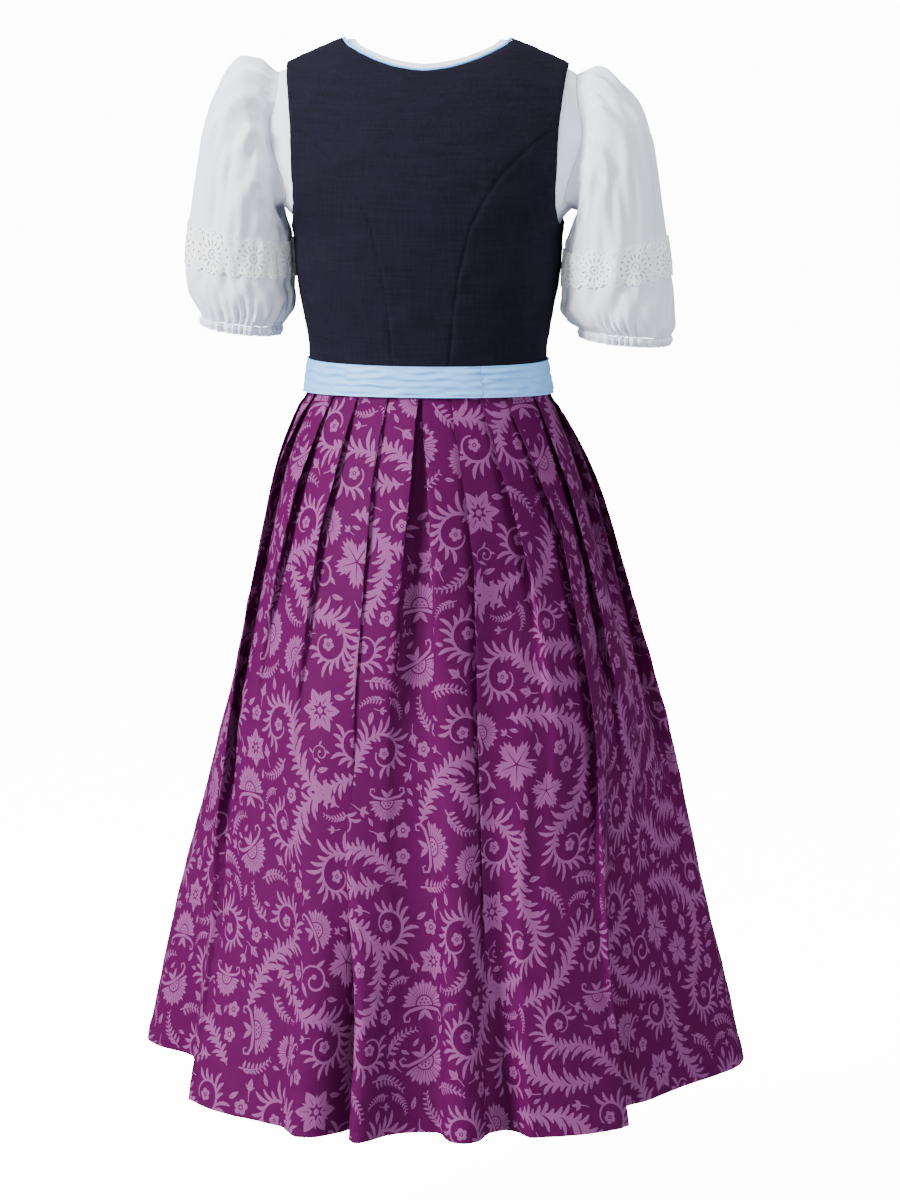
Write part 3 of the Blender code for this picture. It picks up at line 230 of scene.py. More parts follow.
@dataclass
class Torso:
    """The worn shape that the bodice, the blouse and the waistband follow."""

    slope: float = 0.45
    slope_starts: float = 0.086
    slope_softness: float = 0.008
    slope_fades: float = 0.170
    curve: Curve = field(init=False)
    length: float = field(init=False)

    def __post_init__(self) -> None:
        """Lays the sections out along the centre back."""
        keys = running_lengths(np.array([(row.back, row.z) for row in TORSO]))
        self.curve = Curve(TORSO, keys, even=("z",))
        self.length = float(keys[-1])

    def fall(self, x: Array, t: Array) -> Array:
        """How far the shoulder slopes below the level of the neck."""
        beyond = np.abs(x) - self.slope_starts
        drop = self.slope * (np.hypot(beyond, self.slope_softness) + beyond) / 2
        return drop * (1 - smooth(np.abs(t) / self.slope_fades))

    def bare(self, theta: Array, t: Array) -> Array:
        """Points of the torso surface."""
        theta, t = np.broadcast_arrays(np.asarray(theta, float), np.asarray(t, float))
        length, back = np.abs(t), t >= 0
        reach = np.where(back, self.curve.at(length, "back"), self.curve.at(length, "front"))
        power = np.where(back, self.curve.at(length, "back_power"), self.curve.at(length, "front_power"))
        x = self.curve.at(length, "half_width") * np.sin(theta)
        y = reach * np.maximum(np.cos(theta), 0.0) ** power
        return np.stack([x, np.where(back, -y, y), self.curve.at(length, "z") - self.fall(x, t)], axis=-1)

    def point(self, theta: Array, t: Array, off: Array | float = 0.0) -> Array:
        """Points of the torso surface, moved out along its normal.

        Args:
            theta: angles across the torso.
            t: lengths down it from the shoulder ridge.
            off: how far out, in metres.

        Returns:
            The points, in the frame of the solids.
        """
        theta, t = np.broadcast_arrays(np.asarray(theta, float), np.asarray(t, float))
        bare = self.bare(theta, t)
        step, limit = 0.004, math.radians(88.5)
        at = np.clip(theta, -limit, limit)
        across = self.bare(at + step, t) - self.bare(at - step, t)
        inner = np.clip(t, -self.length + step / 2, self.length - step / 2)
        down = self.bare(at, inner + step / 4) - self.bare(at, inner - step / 4)
        normal = np.cross(across, down)
        outward = np.stack([bare[..., 0], bare[..., 1], np.where(np.abs(t) < 0.05, 0.02, 0.0)], axis=-1)
        normal = np.where((normal * outward).sum(-1, keepdims=True) < 0, -normal, normal)
        normal[..., 1] = np.where(np.abs(theta) > limit, 0.0, normal[..., 1])
        return bare + unit(normal) * np.asarray(off, float)[..., None]

    def at_domain(self, places: Array, off: Array | float = 0.0) -> Array:
        """Points for places of the flat domain, which has u = theta * ACROSS_SCALE and v = t."""
        return self.point(places[..., 0] / ACROSS_SCALE, places[..., 1], off)

    def solve(self, low: float, high: Array | float, wanted) -> Array:
        """The place between low and high where wanted turns from positive to negative."""
        low, high = np.broadcast_arrays(np.asarray(low, float), np.asarray(high, float))
        low, high = low.copy(), high.copy()
        for _ in range(45):
            middle = (low + high) / 2
            above = wanted(middle) > 0
            low, high = np.where(above, middle, low), np.where(above, high, middle)
        return (low + high) / 2

    def locate(self, rows: Sequence[Place], side: int) -> list[Spot]:
        """The domain places of points seen at x, z. side is 1 for the back, -1 for the front."""
        x = np.array([row.x for row in rows])
        z = np.array([row.z for row in rows])
        longest = np.full(len(rows), self.length)
        t = self.solve(0.0, longest, lambda s: self.curve.at(s, "z") - self.fall(x, s) - z)
        theta = np.arcsin(np.clip(x / self.curve.at(t, "half_width"), -1.0, 1.0))
        return [(float(a) * ACROSS_SCALE, side * float(b)) for a, b in zip(theta, t)]

    def side_place(self, z: float, side: int) -> Spot:
        """The domain place on the side seam at height z."""
        t = self.solve(0.02, self.length, lambda s: self.bare(math.pi / 2, s)[..., 2] - z)
        return math.pi / 2 * ACROSS_SCALE, side * float(t)

    def level_place(self, theta: Array, side: Array | int, height: Array, tilt: Array | float) -> Array:
        """Lengths t at which the torso meets a level that tilts with the waist."""
        theta = np.asarray(theta, float)

        def above(s: Array) -> Array:
            point = self.bare(theta, side * s)
            return point[..., 2] - (height - tilt * point[..., 1])

        return side * self.solve(0.10, np.full(theta.shape, self.length), above)

    def low_edge(self, start: float, end: float, side: int, height: float, count: int) -> list[Spot]:
        """A level edge of the domain from one angle to another, both included."""
        angles = np.linspace(start, end, count + 1)
        lengths = self.level_place(angles, side, height, WAIST_TILT)
        return [(float(a) * ACROSS_SCALE, float(t)) for a, t in zip(angles, lengths)]

    def ridge(self, x: float) -> Spot:
        """The domain place on the shoulder ridge at x."""
        return math.asin(x / TORSO[0].half_width) * ACROSS_SCALE, 0.0


TORSO_SHAPE = Torso()


def mirrored(path: Path) -> list[Spot]:
    """The path on the other side of the centre line."""
    return [(-u, v) for u, v in path]


def between(start: Spot, end: Spot, count: int) -> list[Spot]:
    """Places strictly between two domain places, evenly spaced."""
    shares = [(i + 1) / (count + 1) for i in range(count)]
    return [(mix(start[0], end[0], f), mix(start[1], end[1], f)) for f in shares]


def inset(outline: Path, distance: float) -> list[Spot]:
    """The closed outline moved in by a small distance, corner by corner."""
    path = np.array(outline, float)
    before, after = np.roll(path, 1, axis=0), np.roll(path, -1, axis=0)
    area = (path[:, 0] * after[:, 1] - after[:, 0] * path[:, 1]).sum()
    one, two = unit(path - before), unit(after - path)
    inward = np.stack([-one[:, 1] - two[:, 1], one[:, 0] + two[:, 0]], axis=1) * (1.0 if area > 0 else -1.0)
    length = np.maximum((inward**2).sum(axis=1) / 2, 0.35)[:, None]
    return [tuple(p) for p in path + inward * distance / length]


def rounded(path: Path, spans: int) -> list[Spot]:
    """A closed path as a smooth loop with the given number of points to each span."""
    p1 = np.array(path, float)
    p0, p2, p3 = np.roll(p1, 1, axis=0), np.roll(p1, -1, axis=0), np.roll(p1, -2, axis=0)
    m1, m2 = (p2 - p0) / 2, (p3 - p1) / 2
    steps = [hermite(k / spans, p1, m1, p2, m2) for k in range(spans)]
    return [tuple(p) for p in np.stack(steps, axis=1).reshape(-1, 2)]


def from_outline(points: Array, outline: Path) -> Array:
    """How far each point lies from a closed outline."""
    path = np.array(outline, float)
    nearest = np.full(len(points), np.inf)
    for a, b in zip(path, np.roll(path, -1, axis=0)):
        edge = b - a
        share = np.clip(((points - a) @ edge) / max(float(edge @ edge), 1e-12), 0.0, 1.0)
        nearest = np.minimum(nearest, np.linalg.norm(a + share[:, None] * edge - points, axis=1))
    return nearest


def inside(points: Array, outline: Path) -> Array:
    """Whether each point lies inside a closed outline."""
    path = np.array(outline, float)
    crossed = np.zeros(len(points), bool)
    u, v = points[:, 0], points[:, 1]
    for a, b in zip(path, np.roll(path, -1, axis=0)):
        if a[1] == b[1]:
            continue
        spans = (a[1] > v) != (b[1] > v)
        crossed ^= spans & (u < a[0] + (v - a[1]) * (b[0] - a[0]) / (b[1] - a[1]))
    return crossed


def wander(x: Array, y: Array, scale: float, seed: int, count: int = 14) -> Array:
    """Soft seeded unevenness between about -1 and 1, of waves about the given length."""
    rng = np.random.default_rng(seed)
    total = np.zeros(np.broadcast(x, y).shape)
    for _ in range(count):
        turn, phase = rng.uniform(0, math.tau, 2)
        number = math.tau / (scale * rng.uniform(0.7, 1.6))
        total = total + np.sin(number * (x * math.cos(turn) + y * math.sin(turn)) + phase)
    return total / math.sqrt(count)


# Finishes

class Value:
    """A shader value that takes part in Python expressions through Math nodes."""

    def __init__(self, tree: "NodeGraph", socket: bpy.types.NodeSocket) -> None:
        """Wraps an output socket of a graph."""
        self.tree = tree
        self.socket = socket

    def _with(self, operation: str, *others: "Number") -> "Value":
        """The outcome of a Math node on this value and others."""
        inputs = {i: x for i, x in enumerate((self, *others))}
        return self.tree.add("ShaderNodeMath", {"operation": operation}, inputs)

    def __add__(self, other: "Number") -> "Value":
        """This value plus another."""
        return self._with("ADD", other)

    def __sub__(self, other: "Number") -> "Value":
        """This value less another."""
        return self._with("SUBTRACT", other)

    def __mul__(self, other: "Number") -> "Value":
        """This value times another."""
        return self._with("MULTIPLY", other)

    def __rsub__(self, other: "Number") -> "Value":
        """Another value less this one."""
        return self.tree.add("ShaderNodeMath", {"operation": "SUBTRACT"}, {0: other, 1: self})

    __radd__ = __add__
    __rmul__ = __mul__

    def at_most(self, other: "Number") -> "Value":
        """The smaller of this value and another."""
        return self._with("MINIMUM", other)

    def at_least(self, other: "Number") -> "Value":
        """The larger of this value and another."""
        return self._with("MAXIMUM", other)


Number = Union[Value, float]


class NodeGraph:
    """The nodes of one material."""

    def __init__(self, name: str) -> None:
        """Starts a material that holds only its shader."""
        self.material = bpy.data.materials.new(name)
        self.material.use_nodes = True
        self.tree = self.material.node_tree
        self.shader = self.tree.nodes["Principled BSDF"]

    def add(self, kind: str, settings: dict, inputs: dict, output: int | str = 0) -> Value:
        """Adds a node.

        Args:
            kind: the node's type.
            settings: its properties, set first.
            inputs: the values or links of its sockets, by name or index.
            output: which output is wanted.

        Returns:
            The output as a value.
        """
        node = self.tree.nodes.new(kind)
        for name, value in settings.items():
            setattr(node, name, value)
        for name, value in inputs.items():
            self.feed(node.inputs[name], value)
        return Value(self, node.outputs[output])

    def feed(self, socket: bpy.types.NodeSocket, value: object) -> None:
        """Links a value to a socket, or sets the socket's own value."""
        if isinstance(value, Value):
            self.tree.links.new(value.socket, socket)
            return
        if isinstance(value, tuple) and len(value) == 3 and socket.type == "RGBA":
            value = (*value, 1.0)
        socket.default_value = value

    def noise(self, place: Value, scale: float, detail: float = 2.0, roughness: float = 0.5) -> Value:
        """A noise texture's value at a place."""
        inputs = {"Vector": place, "Scale": scale, "Detail": detail, "Roughness": roughness}
        return self.add("ShaderNodeTexNoise", {}, inputs, "Fac")

    def stretched(self, place: Value, scale: tuple[float, float, float]) -> Value:
        """A place with each direction scaled by its own factor."""
        return self.add("ShaderNodeVectorMath", {"operation": "MULTIPLY"}, {0: place, 1: scale})

    def threads(self, place: Value, axis: str, spacing: float, wobble: float) -> Value:
        """Rounded threads across an axis, from 0 in the gaps to 1 on their crowns."""
        number = math.tau / (spacing * 20.0)
        settings = {"wave_type": "BANDS", "bands_direction": axis, "wave_profile": "SIN"}
        inputs = {"Vector": place, "Scale": number, "Distortion": wobble, "Detail": 1.0, "Detail Scale": 1.2}
        return self.add("ShaderNodeTexWave", settings, inputs, "Fac")

    def blend(self, share: Number, one: object, two: object) -> Value:
        """A colour mixed from two others."""
        settings = {"data_type": "RGBA"}
        return self.add("ShaderNodeMix", settings, {"Factor": share, 6: one, 7: two}, 2)

    def finish(self, colour: object, roughness: object, height: Value, relief: float, depth: float) -> None:
        """Feeds the shader.

        Args:
            colour: base colour, plain or a link.
            roughness: the same for roughness.
            height: the surface's relief, from 0 to about 1.
            relief: the Bump node's strength.
            depth: how tall that relief is, in metres.
        """
        inputs = {"Strength": relief, "Distance": depth, "Height": height}
        normal = self.add("ShaderNodeBump", {}, inputs)
        for name, value in (("Base Color", colour), ("Roughness", roughness), ("Normal", normal)):
            self.feed(self.shader.inputs[name], value)


class Weft(Enum):
    """Where a cloth takes its thread directions from."""

    OBJECT = "object"
    FLAT = "flat"


@dataclass(frozen=True)
class WovenCloth:
    """A plain-woven finish: two sets of threads, thicker ones among them and a soft mottle."""

    name: str
    dark: Colour
    light: Colour
    roughness: float
    spacing: float
    depth: float
    slubs: float
    weft: Weft = Weft.OBJECT
    shine: float = 0.5

    def build(self) -> bpy.types.Material:
        """Makes the material."""
        graph = NodeGraph(self.name)
        if self.weft is Weft.FLAT:
            place = graph.add("ShaderNodeUVMap", {"uv_map": "OFBake"}, {}, "UV")
            place = graph.stretched(place, (0.5, 0.78, 1.0))
            axis, runs = "Y", ((640.0, 24.0, 1.0), (26.0, 620.0, 1.0))
        else:
            place = graph.add("ShaderNodeTexCoord", {}, {}, "Object")
            axis, runs = "Z", ((700.0, 500.0, 22.0), (26.0, 26.0, 620.0))
        across, along = (graph.threads(place, name, self.spacing, 0.6) for name in ("X", axis))
        weave = across * 0.5 + along * 0.5
        lengthways, crossways = (graph.noise(graph.stretched(place, run), 1.0, 1.0) for run in runs)
        slub = (lengthways + crossways) * 0.5
        mottle = graph.noise(place, 34.0, 3.0)
        tone = weave * 0.35 + (slub - 0.5) * (self.slubs * 2.0) + (mottle - 0.5) * 0.5 + 0.33
        colour = graph.blend(tone.at_least(0.0).at_most(1.0), self.dark, self.light)
        rough = (mottle - 0.5) * 0.10 + self.roughness
        height = weave * 0.55 + slub * 0.45
        graph.finish(colour, rough, height, 0.6, self.depth)
        graph.feed(graph.shader.inputs["Specular IOR Level"], self.shine)
        return graph.material


@dataclass(frozen=True)
class Satin:
    """A soft ribbed satin: fine ribs across it, and slow changes in its shine, partly real in its roughness
    and partly painted into its colour as lighter and darker streaks of sheen.
    """

    name: str
    dark: Colour
    light: Colour

    def build(self) -> bpy.types.Material:
        """Makes the material."""
        graph = NodeGraph(self.name)
        place = graph.add("ShaderNodeTexCoord", {}, {}, "Object")
        ribs = graph.threads(place, "Z", 0.0011, 0.4)
        # Streaks along the ribbon: painted sheen in the colour, and a little relief in the bump.
        painted_sheen_streaks = graph.noise(graph.stretched(place, (30.0, 30.0, 420.0)), 1.0, 2.0)
        cloud = graph.noise(place, 22.0, 2.0)
        tone = painted_sheen_streaks * 0.55 + cloud * 0.35 + ribs * 0.10
        colour = graph.blend(tone.at_least(0.0).at_most(1.0), self.dark, self.light)
        graph.finish(colour, (cloud - 0.5) * 0.16 + 0.44, ribs * 0.7 + painted_sheen_streaks * 0.3, 0.35, 0.00012)
        graph.feed(graph.shader.inputs["Specular IOR Level"], 0.35)
        return graph.material


@dataclass(frozen=True)
class CastMetal:
    """Dull cast metal, darker in soft random patches."""

    name: str
    colour: Colour

    def build(self) -> bpy.types.Material:
        """Makes the material."""
        graph = NodeGraph(self.name)
        place = graph.add("ShaderNodeTexCoord", {}, {}, "Object")
        wear = graph.noise(place, 420.0, 4.0, 0.6)
        grain = graph.noise(place, 1600.0, 2.0)
        dark = tuple(c * 0.42 for c in self.colour)
        colour = graph.blend((wear * 1.6 - 0.3).at_least(0.0).at_most(1.0), dark, self.colour)
        graph.finish(colour, wear * 0.25 + 0.28, grain * 0.5 + wear * 0.5, 0.5, 0.00015)
        graph.feed(graph.shader.inputs["Metallic"], 1.0)
        return graph.material


@dataclass(frozen=True)
class StudioFloor:
    """A pale matt studio floor, lit from within."""

    name: str
    colour: Colour
    glow: float

    def build(self) -> bpy.types.Material:
        """Makes the material."""
        graph = NodeGraph(self.name)
        place = graph.add("ShaderNodeTexCoord", {}, {}, "Object")
        grain = graph.noise(place, 8.0, 4.0)
        dim = tuple(c * 0.97 for c in self.colour)
        shade = graph.blend(grain, dim, self.colour)
        graph.finish(shade, 0.85, grain, 0.05, 0.001)
        graph.feed(graph.shader.inputs["Emission Color"], shade)
        graph.feed(graph.shader.inputs["Emission Strength"], self.glow)
        return graph.material


NAVY_LINEN = WovenCloth(
    "navy_linen", (0.0016, 0.0013, 0.0036), (0.0085, 0.0072, 0.0190), 0.85, 0.0013, 0.00022, 0.62,
    Weft.OBJECT, 0.10,
)
PRINT_GROUND = WovenCloth(
    "magenta_ground", (0.050, 0.0009, 0.036), (0.080, 0.0020, 0.058), 0.70, 0.0009, 0.00010, 0.16,
    Weft.FLAT, 0.05,
)
PRINT_INK = WovenCloth(
    "lilac_ink", (0.152, 0.038, 0.134), (0.210, 0.062, 0.185), 0.72, 0.0009, 0.00010, 0.20,
    Weft.FLAT, 0.08,
)
WHITE_COTTON = WovenCloth(
    "white_cotton", (0.715, 0.755, 0.860), (0.815, 0.850, 0.945), 0.82, 0.0008, 0.00012, 0.30,
)
WHITE_LACE = WovenCloth(
    "white_lace", (0.880, 0.900, 0.950), (0.970, 0.980, 1.000), 0.88, 0.0010, 0.00030, 0.45,
)
BLUE_SATIN = Satin("light_blue_satin", (0.160, 0.440, 0.910), (0.232, 0.545, 1.000))
PEWTER = CastMetal("pewter", (0.340, 0.335, 0.330))
FLOOR = StudioFloor("studio_floor", (0.95, 0.95, 0.955), 14.0)


Finish = Union[WovenCloth, Satin, CastMetal, StudioFloor]


class Wardrobe:
    """The finishes as materials, each made once."""

    made: dict[str, bpy.types.Material] = {}

    @classmethod
    def get(cls, finish: Finish) -> bpy.types.Material:
        """The material of a finish."""
        if finish.name not in cls.made:
            cls.made[finish.name] = finish.build()
        return cls.made[finish.name]


# Cloth meshes

class Lining(NamedTuple):
    """A shell's inner side with a mesh of its own: flat places, faces, and each edge point's twin."""

    places: Array
    faces: Array
    twins: Array


def open_edges(faces: Array) -> Array:
    """The edges that only one face has, in the direction that face runs."""
    edges = np.stack([faces, np.roll(faces, -1, axis=1)], axis=-1).reshape(-1, 2)
    _, index, count = np.unique(np.sort(edges, axis=1), axis=0, return_index=True, return_counts=True)
    return edges[index[count == 1]]


def edge_loop(faces: Array) -> list[int]:
    """The corners round the edge of a mesh that has one edge, in order."""
    following = {int(a): int(b) for a, b in open_edges(faces)}
    loop = [next(iter(following))]
    while following[loop[-1]] != loop[0]:
        loop.append(following[loop[-1]])
    return loop


@dataclass
class Piece:
    """A sewn piece as a closed thin shell of matching outer and inner points."""

    name: str
    outer: Array
    inner: Array
    faces: Array
    finishes: Sequence[Finish]
    slot: str
    node: str
    inks: Array | None = None
    flat: Array | None = None
    sharp: float = 62.0
    lining: Lining | None = None

    def build(self) -> bpy.types.Object:
        """Makes the object, and hands it over to the frame."""
        twins = np.arange(len(self.outer)) if self.lining is None else self.lining.twins
        back = self.faces if self.lining is None else self.lining.faces
        a, b, c = (self.outer[self.faces[:, k]] for k in range(3))
        paired = twins[self.faces[:, 0]] >= 0
        out = self.outer[self.faces[:, 0]] - self.inner[twins[self.faces[:, 0]]]
        if (np.cross(b - a, c - a) * out)[paired].sum() < 0:
            self.faces, back = self.faces[:, ::-1], back[:, ::-1]
        here = open_edges(self.faces)
        far = twins[here] + len(self.outer)
        rim = np.stack([here[:, 1], here[:, 0], far[:, 0], far[:, 1]], axis=1)
        if self.faces.shape[1] == 3:
            rim = np.vstack([rim[:, [0, 1, 2]], rim[:, [0, 2, 3]]])
        faces = np.vstack([self.faces, back[:, ::-1] + len(self.outer), rim])
        mesh = new_mesh(self.name, np.vstack([self.outer, self.inner]), faces.tolist(), self.finishes)
        if self.inks is not None:
            slots = np.concatenate([self.inks, np.zeros(len(back) + len(rim), int)])
            mesh.polygons.foreach_set("material_index", slots.astype(np.int32))
        if self.flat is not None:
            self.lay_flat(mesh, faces)
        return hand_over(mesh, self.sharp, self.slot, self.node)

    def lay_flat(self, mesh: bpy.types.Mesh, faces: Array) -> None:
        """Adds the flat cloth as the piece's map, both sides side by side."""
        low, high = self.flat.min(axis=0), self.flat.max(axis=0)
        inner = self.flat if self.lining is None else self.lining.places
        scale = np.array([0.49, 1.0]) / (high - low)
        front, back = (self.flat - low) * scale, (inner - low) * scale + np.array([0.51, 0.0])
        layer = mesh.uv_layers.new(name="OFBake")
        both = np.vstack([front, back])[faces.reshape(-1)]
        layer.data.foreach_set("uv", both.astype(np.float32).reshape(-1))


def new_mesh(name: str, points: Array, faces: list[list[int]], finishes: Sequence[Finish]) -> bpy.types.Mesh:
    """A mesh of points and faces with its finishes."""
    mesh = bpy.data.meshes.new(name)
    mesh.from_pydata(points.tolist(), [], faces)
    for finish in finishes:
        mesh.materials.append(Wardrobe.get(finish))
    return mesh


def hand_over(mesh: bpy.types.Mesh, sharp: float, slot: str, node: str) -> bpy.types.Object:
    """Makes a mesh's object and tells the frame where it belongs.

    Args:
        mesh: the mesh.
        sharp: the angle in degrees above which an edge stays sharp.
        slot: the record's material slot; not used.
        node: the solid that the object stands for.

    Returns:
        The object.
    """
    mesh.shade_smooth()
    mesh.set_sharp_from_angle(angle=math.radians(sharp))
    mesh.validate()
    mesh.update()
    item = bpy.data.objects.new(mesh.name, mesh)
    bpy.context.scene.collection.objects.link(item)
    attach(item, "root")
    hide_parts(node)
    LOG.info("%s: %d faces", item.name, len(mesh.polygons))
    return item


def make_body(
    name: str, points: Array, faces: list[list[int]], finish: Finish, node: str, sharp: float = 50.0
) -> None:
    """Makes a closed body of points and faces, its faces outward."""
    volume = 0.0
    for face in faces:
        corners = points[face]
        for k in range(1, len(face) - 1):
            volume += float(np.dot(corners[0], np.cross(corners[k], corners[k + 1])))
    faces = faces if volume > 0 else [face[::-1] for face in faces]
    hand_over(new_mesh(name, points, faces, (finish,)), sharp, finish.name, node)


def sew(
    name: str, node: str, rows: Sequence[tuple[Array, Array]], finish: Finish,
    rests_on: Sequence[str], closed: bool = False,
) -> None:
    """Args:
        name: the piece's name.
        node: the solid that it stands for.
        rows: its outer and inner points, row by row.
        finish: its finish, named as the record's slot.
        rests_on: what it lies on or hangs from.
        closed: whether each row goes all round.
    """
    outer, inner = (np.stack([row[k] for row in rows]) for k in range(2))
    faces = grid_faces(*outer.shape[:2], closed)
    points = outer.reshape(-1, 3)
    piece = Piece(name, points, inner.reshape(-1, 3), faces, (finish,), finish.name, node).build()
    whole = np.concatenate([outer, outer[:, :1]], axis=1) if closed else outer
    declare(piece, whole, area_of(points, faces), rests_on)


def grid_faces(rows: int, columns: int, closed: bool = False) -> Array:
    """Four-sided faces of a grid of points, closed round its columns if asked."""
    ids = np.arange(rows * columns).reshape(rows, columns)
    following = np.roll(ids, -1, axis=1) if closed else ids[:, 1:]
    here = ids if closed else ids[:, :-1]
    quads = [here[:-1], following[:-1], following[1:], here[1:]]
    return np.stack(quads, axis=-1).reshape(-1, 4)


def grid_normals(grid: Array, middle: Array, closed: bool = False) -> Array:
    """Normals of a grid of points, facing away from the middle on the whole."""
    if closed:
        across = np.roll(grid, -1, axis=1) - np.roll(grid, 1, axis=1)
    else:
        across = np.gradient(grid, axis=1)
    normals = unit(np.cross(across, np.gradient(grid, axis=0)))
    return normals if (normals * (grid - middle)).sum() > 0 else -normals


def between_points(
    grids: Sequence[Array], i: Array, j: Array, k: Array, f: Array, g: Array
) -> tuple[Array, Array]:
    """Points and normals within a grid's cells.

    Args:
        grids: the points and the normals.
        i: each cell's first row.
        j: its first column.
        k: its second column.
        f: the share down the cell.
        g: the share across it.

    Returns:
        The points and their normals.
    """
    points, normals = (
        mix(mix(grid[i, j], grid[i, k], g), mix(grid[i + 1, j], grid[i + 1, k], g), f) for grid in grids
    )
    return points, unit(normals)


def ring_faces(rows: int, columns: int) -> list[list[int]]:
    """Four-sided faces of a grid that is closed both ways."""
    ids = np.arange(rows * columns).reshape(rows, columns)
    right, down = np.roll(ids, -1, axis=1), np.roll(ids, -1, axis=0)
    both = np.roll(right, -1, axis=0)
    return np.stack([ids, right, both, down], axis=-1).reshape(-1, 4).tolist()


def area_of(points: Array, faces: Array) -> float:
    """The area of the faces, in square metres."""
    total = 0.0
    for k in range(1, faces.shape[1] - 1):
        a, b, c = points[faces[:, 0]], points[faces[:, k]], points[faces[:, k + 1]]
        total += float(np.linalg.norm(np.cross(b - a, c - a), axis=1).sum()) / 2
    return total


def cloth_size(grid: Array) -> Spot:
    """The greatest width and length of a grid of points, measured along its rows and columns."""
    across = np.linalg.norm(np.diff(grid, axis=1), axis=2).sum(axis=1).max()
    down = np.linalg.norm(np.diff(grid, axis=0), axis=2).sum(axis=0).max()
    return float(across), float(down)


def declare(piece: bpy.types.Object, grid: Array, cut: float, rests_on: Sequence[str]) -> None:
    """Logs a piece's cut size and area as a sheet of cloth.

    Args:
        piece: the object.
        grid: rows of points over the cloth's whole width and length.
        cut: the flat area it was cut to.
        rests_on: what it lies on or hangs from; not used.
    """
    across, down = cloth_size(grid)
    area = min(max(cut, 0.31 * across * down), across * down)
    LOG.info("%s: cut %.3f x %.3f m, %.4f m2", piece.name, across, down, area)
    list(rests_on)


# Skirt

class Base(NamedTuple):
    """One plain oval of the skirt."""

    z: float
    half_width: float
    back: float
    front: float


SKIRT = [Base(*row) for row in (
    (-0.3360, 0.1266, 0.1022, 0.1012), (-0.3550, 0.1284, 0.1042, 0.1030), (-0.3700, 0.1385, 0.1135, 0.1095),
    (-0.3850, 0.1450, 0.1190, 0.1140), (-0.4070, 0.1545, 0.1300, 0.1220), (-0.4500, 0.1700, 0.1460, 0.1360),
    (-0.5160, 0.1885, 0.1650, 0.1510), (-0.6050, 0.2120, 0.1860, 0.1710), (-0.6940, 0.2345, 0.2060, 0.1920),
    (-0.7840, 0.2550, 0.2260, 0.2110), (-0.8750, 0.2760, 0.2460, 0.2300), (-0.9670, 0.2965, 0.2650, 0.2470),
    (-1.0900, 0.3220, 0.2880, 0.2650),
)]


class Wave(NamedTuple):
    """Half height of a pleat's wave at a share v down the skirt."""

    v: float
    height: float


WAVES = [Wave(*row) for row in (
    (0.00, 0.0014), (0.03, 0.0026), (0.08, 0.0052), (0.16, 0.0080), (0.28, 0.0095), (0.42, 0.0108),
    (0.60, 0.0100), (0.80, 0.0080), (1.00, 0.0052),
)]


class Lobe(NamedTuple):
    """The hem in plan: how far along the oval from the centre back, and how far out of it."""

    along: float
    out: float


HEM_LEFT = [Lobe(*row) for row in (
    (0.000, -0.010), (0.011, -0.009), (0.034, -0.002), (0.051, 0.019), (0.062, 0.028), (0.070, 0.022),
    (0.075, 0.000), (0.078, -0.012), (0.083, -0.004), (0.090, 0.005), (0.106, 0.024), (0.123, 0.030),
    (0.136, 0.018), (0.150, 0.007), (0.209, 0.006), (0.245, 0.008), (0.275, 0.006), (0.284, -0.008),
    (0.293, -0.030), (0.312, -0.044), (0.360, -0.047), (0.415, -0.046), (0.432, -0.040), (0.441, -0.031),
    (0.458, -0.010), (0.491, 0.009), (0.530, 0.008), (0.570, -0.012), (0.620, 0.004), (0.670, 0.010),
    (0.720, -0.006), (0.760, -0.014), (0.810, 0.006), (0.860, 0.008), (0.905, -0.008), (0.945, 0.002),
)]
HEM_RIGHT = [Lobe(*row) for row in (
    (0.000, -0.010), (0.017, -0.011), (0.030, 0.013), (0.045, 0.018), (0.057, 0.013), (0.073, -0.011),
    (0.090, -0.018), (0.101, -0.010), (0.113, 0.013), (0.144, 0.014), (0.177, 0.018), (0.203, 0.019),
    (0.216, 0.012), (0.226, -0.012), (0.238, -0.031), (0.255, -0.037), (0.291, -0.035), (0.352, -0.030),
    (0.403, -0.011), (0.435, 0.007), (0.465, 0.012), (0.510, 0.006), (0.560, -0.016), (0.610, 0.004),
    (0.660, 0.010), (0.710, -0.006), (0.750, -0.014), (0.800, 0.006), (0.850, 0.008), (0.900, -0.008),
    (0.945, 0.002),
)]


class Seen(NamedTuple):
    """Where the photograph shows a pleat's edge: share v down, length along from the centre."""

    v: float
    along: float


class Pleat(NamedTuple):
    """A pleat's edge: its flat place, how far down it lasts, how soft it is, and where it is seen."""

    flat: float
    reach: float
    soft: float
    seen: tuple[Seen, ...] = ()


LEFT_PLEATS = [Pleat(*row) for row in (
    (0.030, 0.62, 0.6, (Seen(0.024, 0.001), Seen(0.415, 0.027))),
    (0.131, 1.30, 0.0, (Seen(0.027, 0.034), Seen(0.140, 0.050), Seen(0.418, 0.066), Seen(0.996, 0.0795))),
    (0.210, 0.66, 0.7, (Seen(0.032, 0.069), Seen(0.191, 0.103), Seen(0.425, 0.129), Seen(0.523, 0.141))),
    (0.288, 0.55, 0.7, (Seen(0.023, 0.099), Seen(0.143, 0.139), Seen(0.352, 0.183), Seen(0.438, 0.194))),
    (0.366, 1.30, 0.0, (
        Seen(0.027, 0.134), Seen(0.115, 0.180), Seen(0.293, 0.216), Seen(0.387, 0.2235),
        Seen(0.526, 0.239), Seen(0.653, 0.265), Seen(0.820, 0.283), Seen(0.939, 0.283),
    )),
    (0.455, 0.60, 0.6), (0.550, 0.90, 0.3), (0.650, 0.55, 0.7), (0.750, 0.95, 0.3), (0.850, 0.55, 0.7),
    (0.950, 0.90, 0.3), (1.045, 0.60, 0.7),
)]
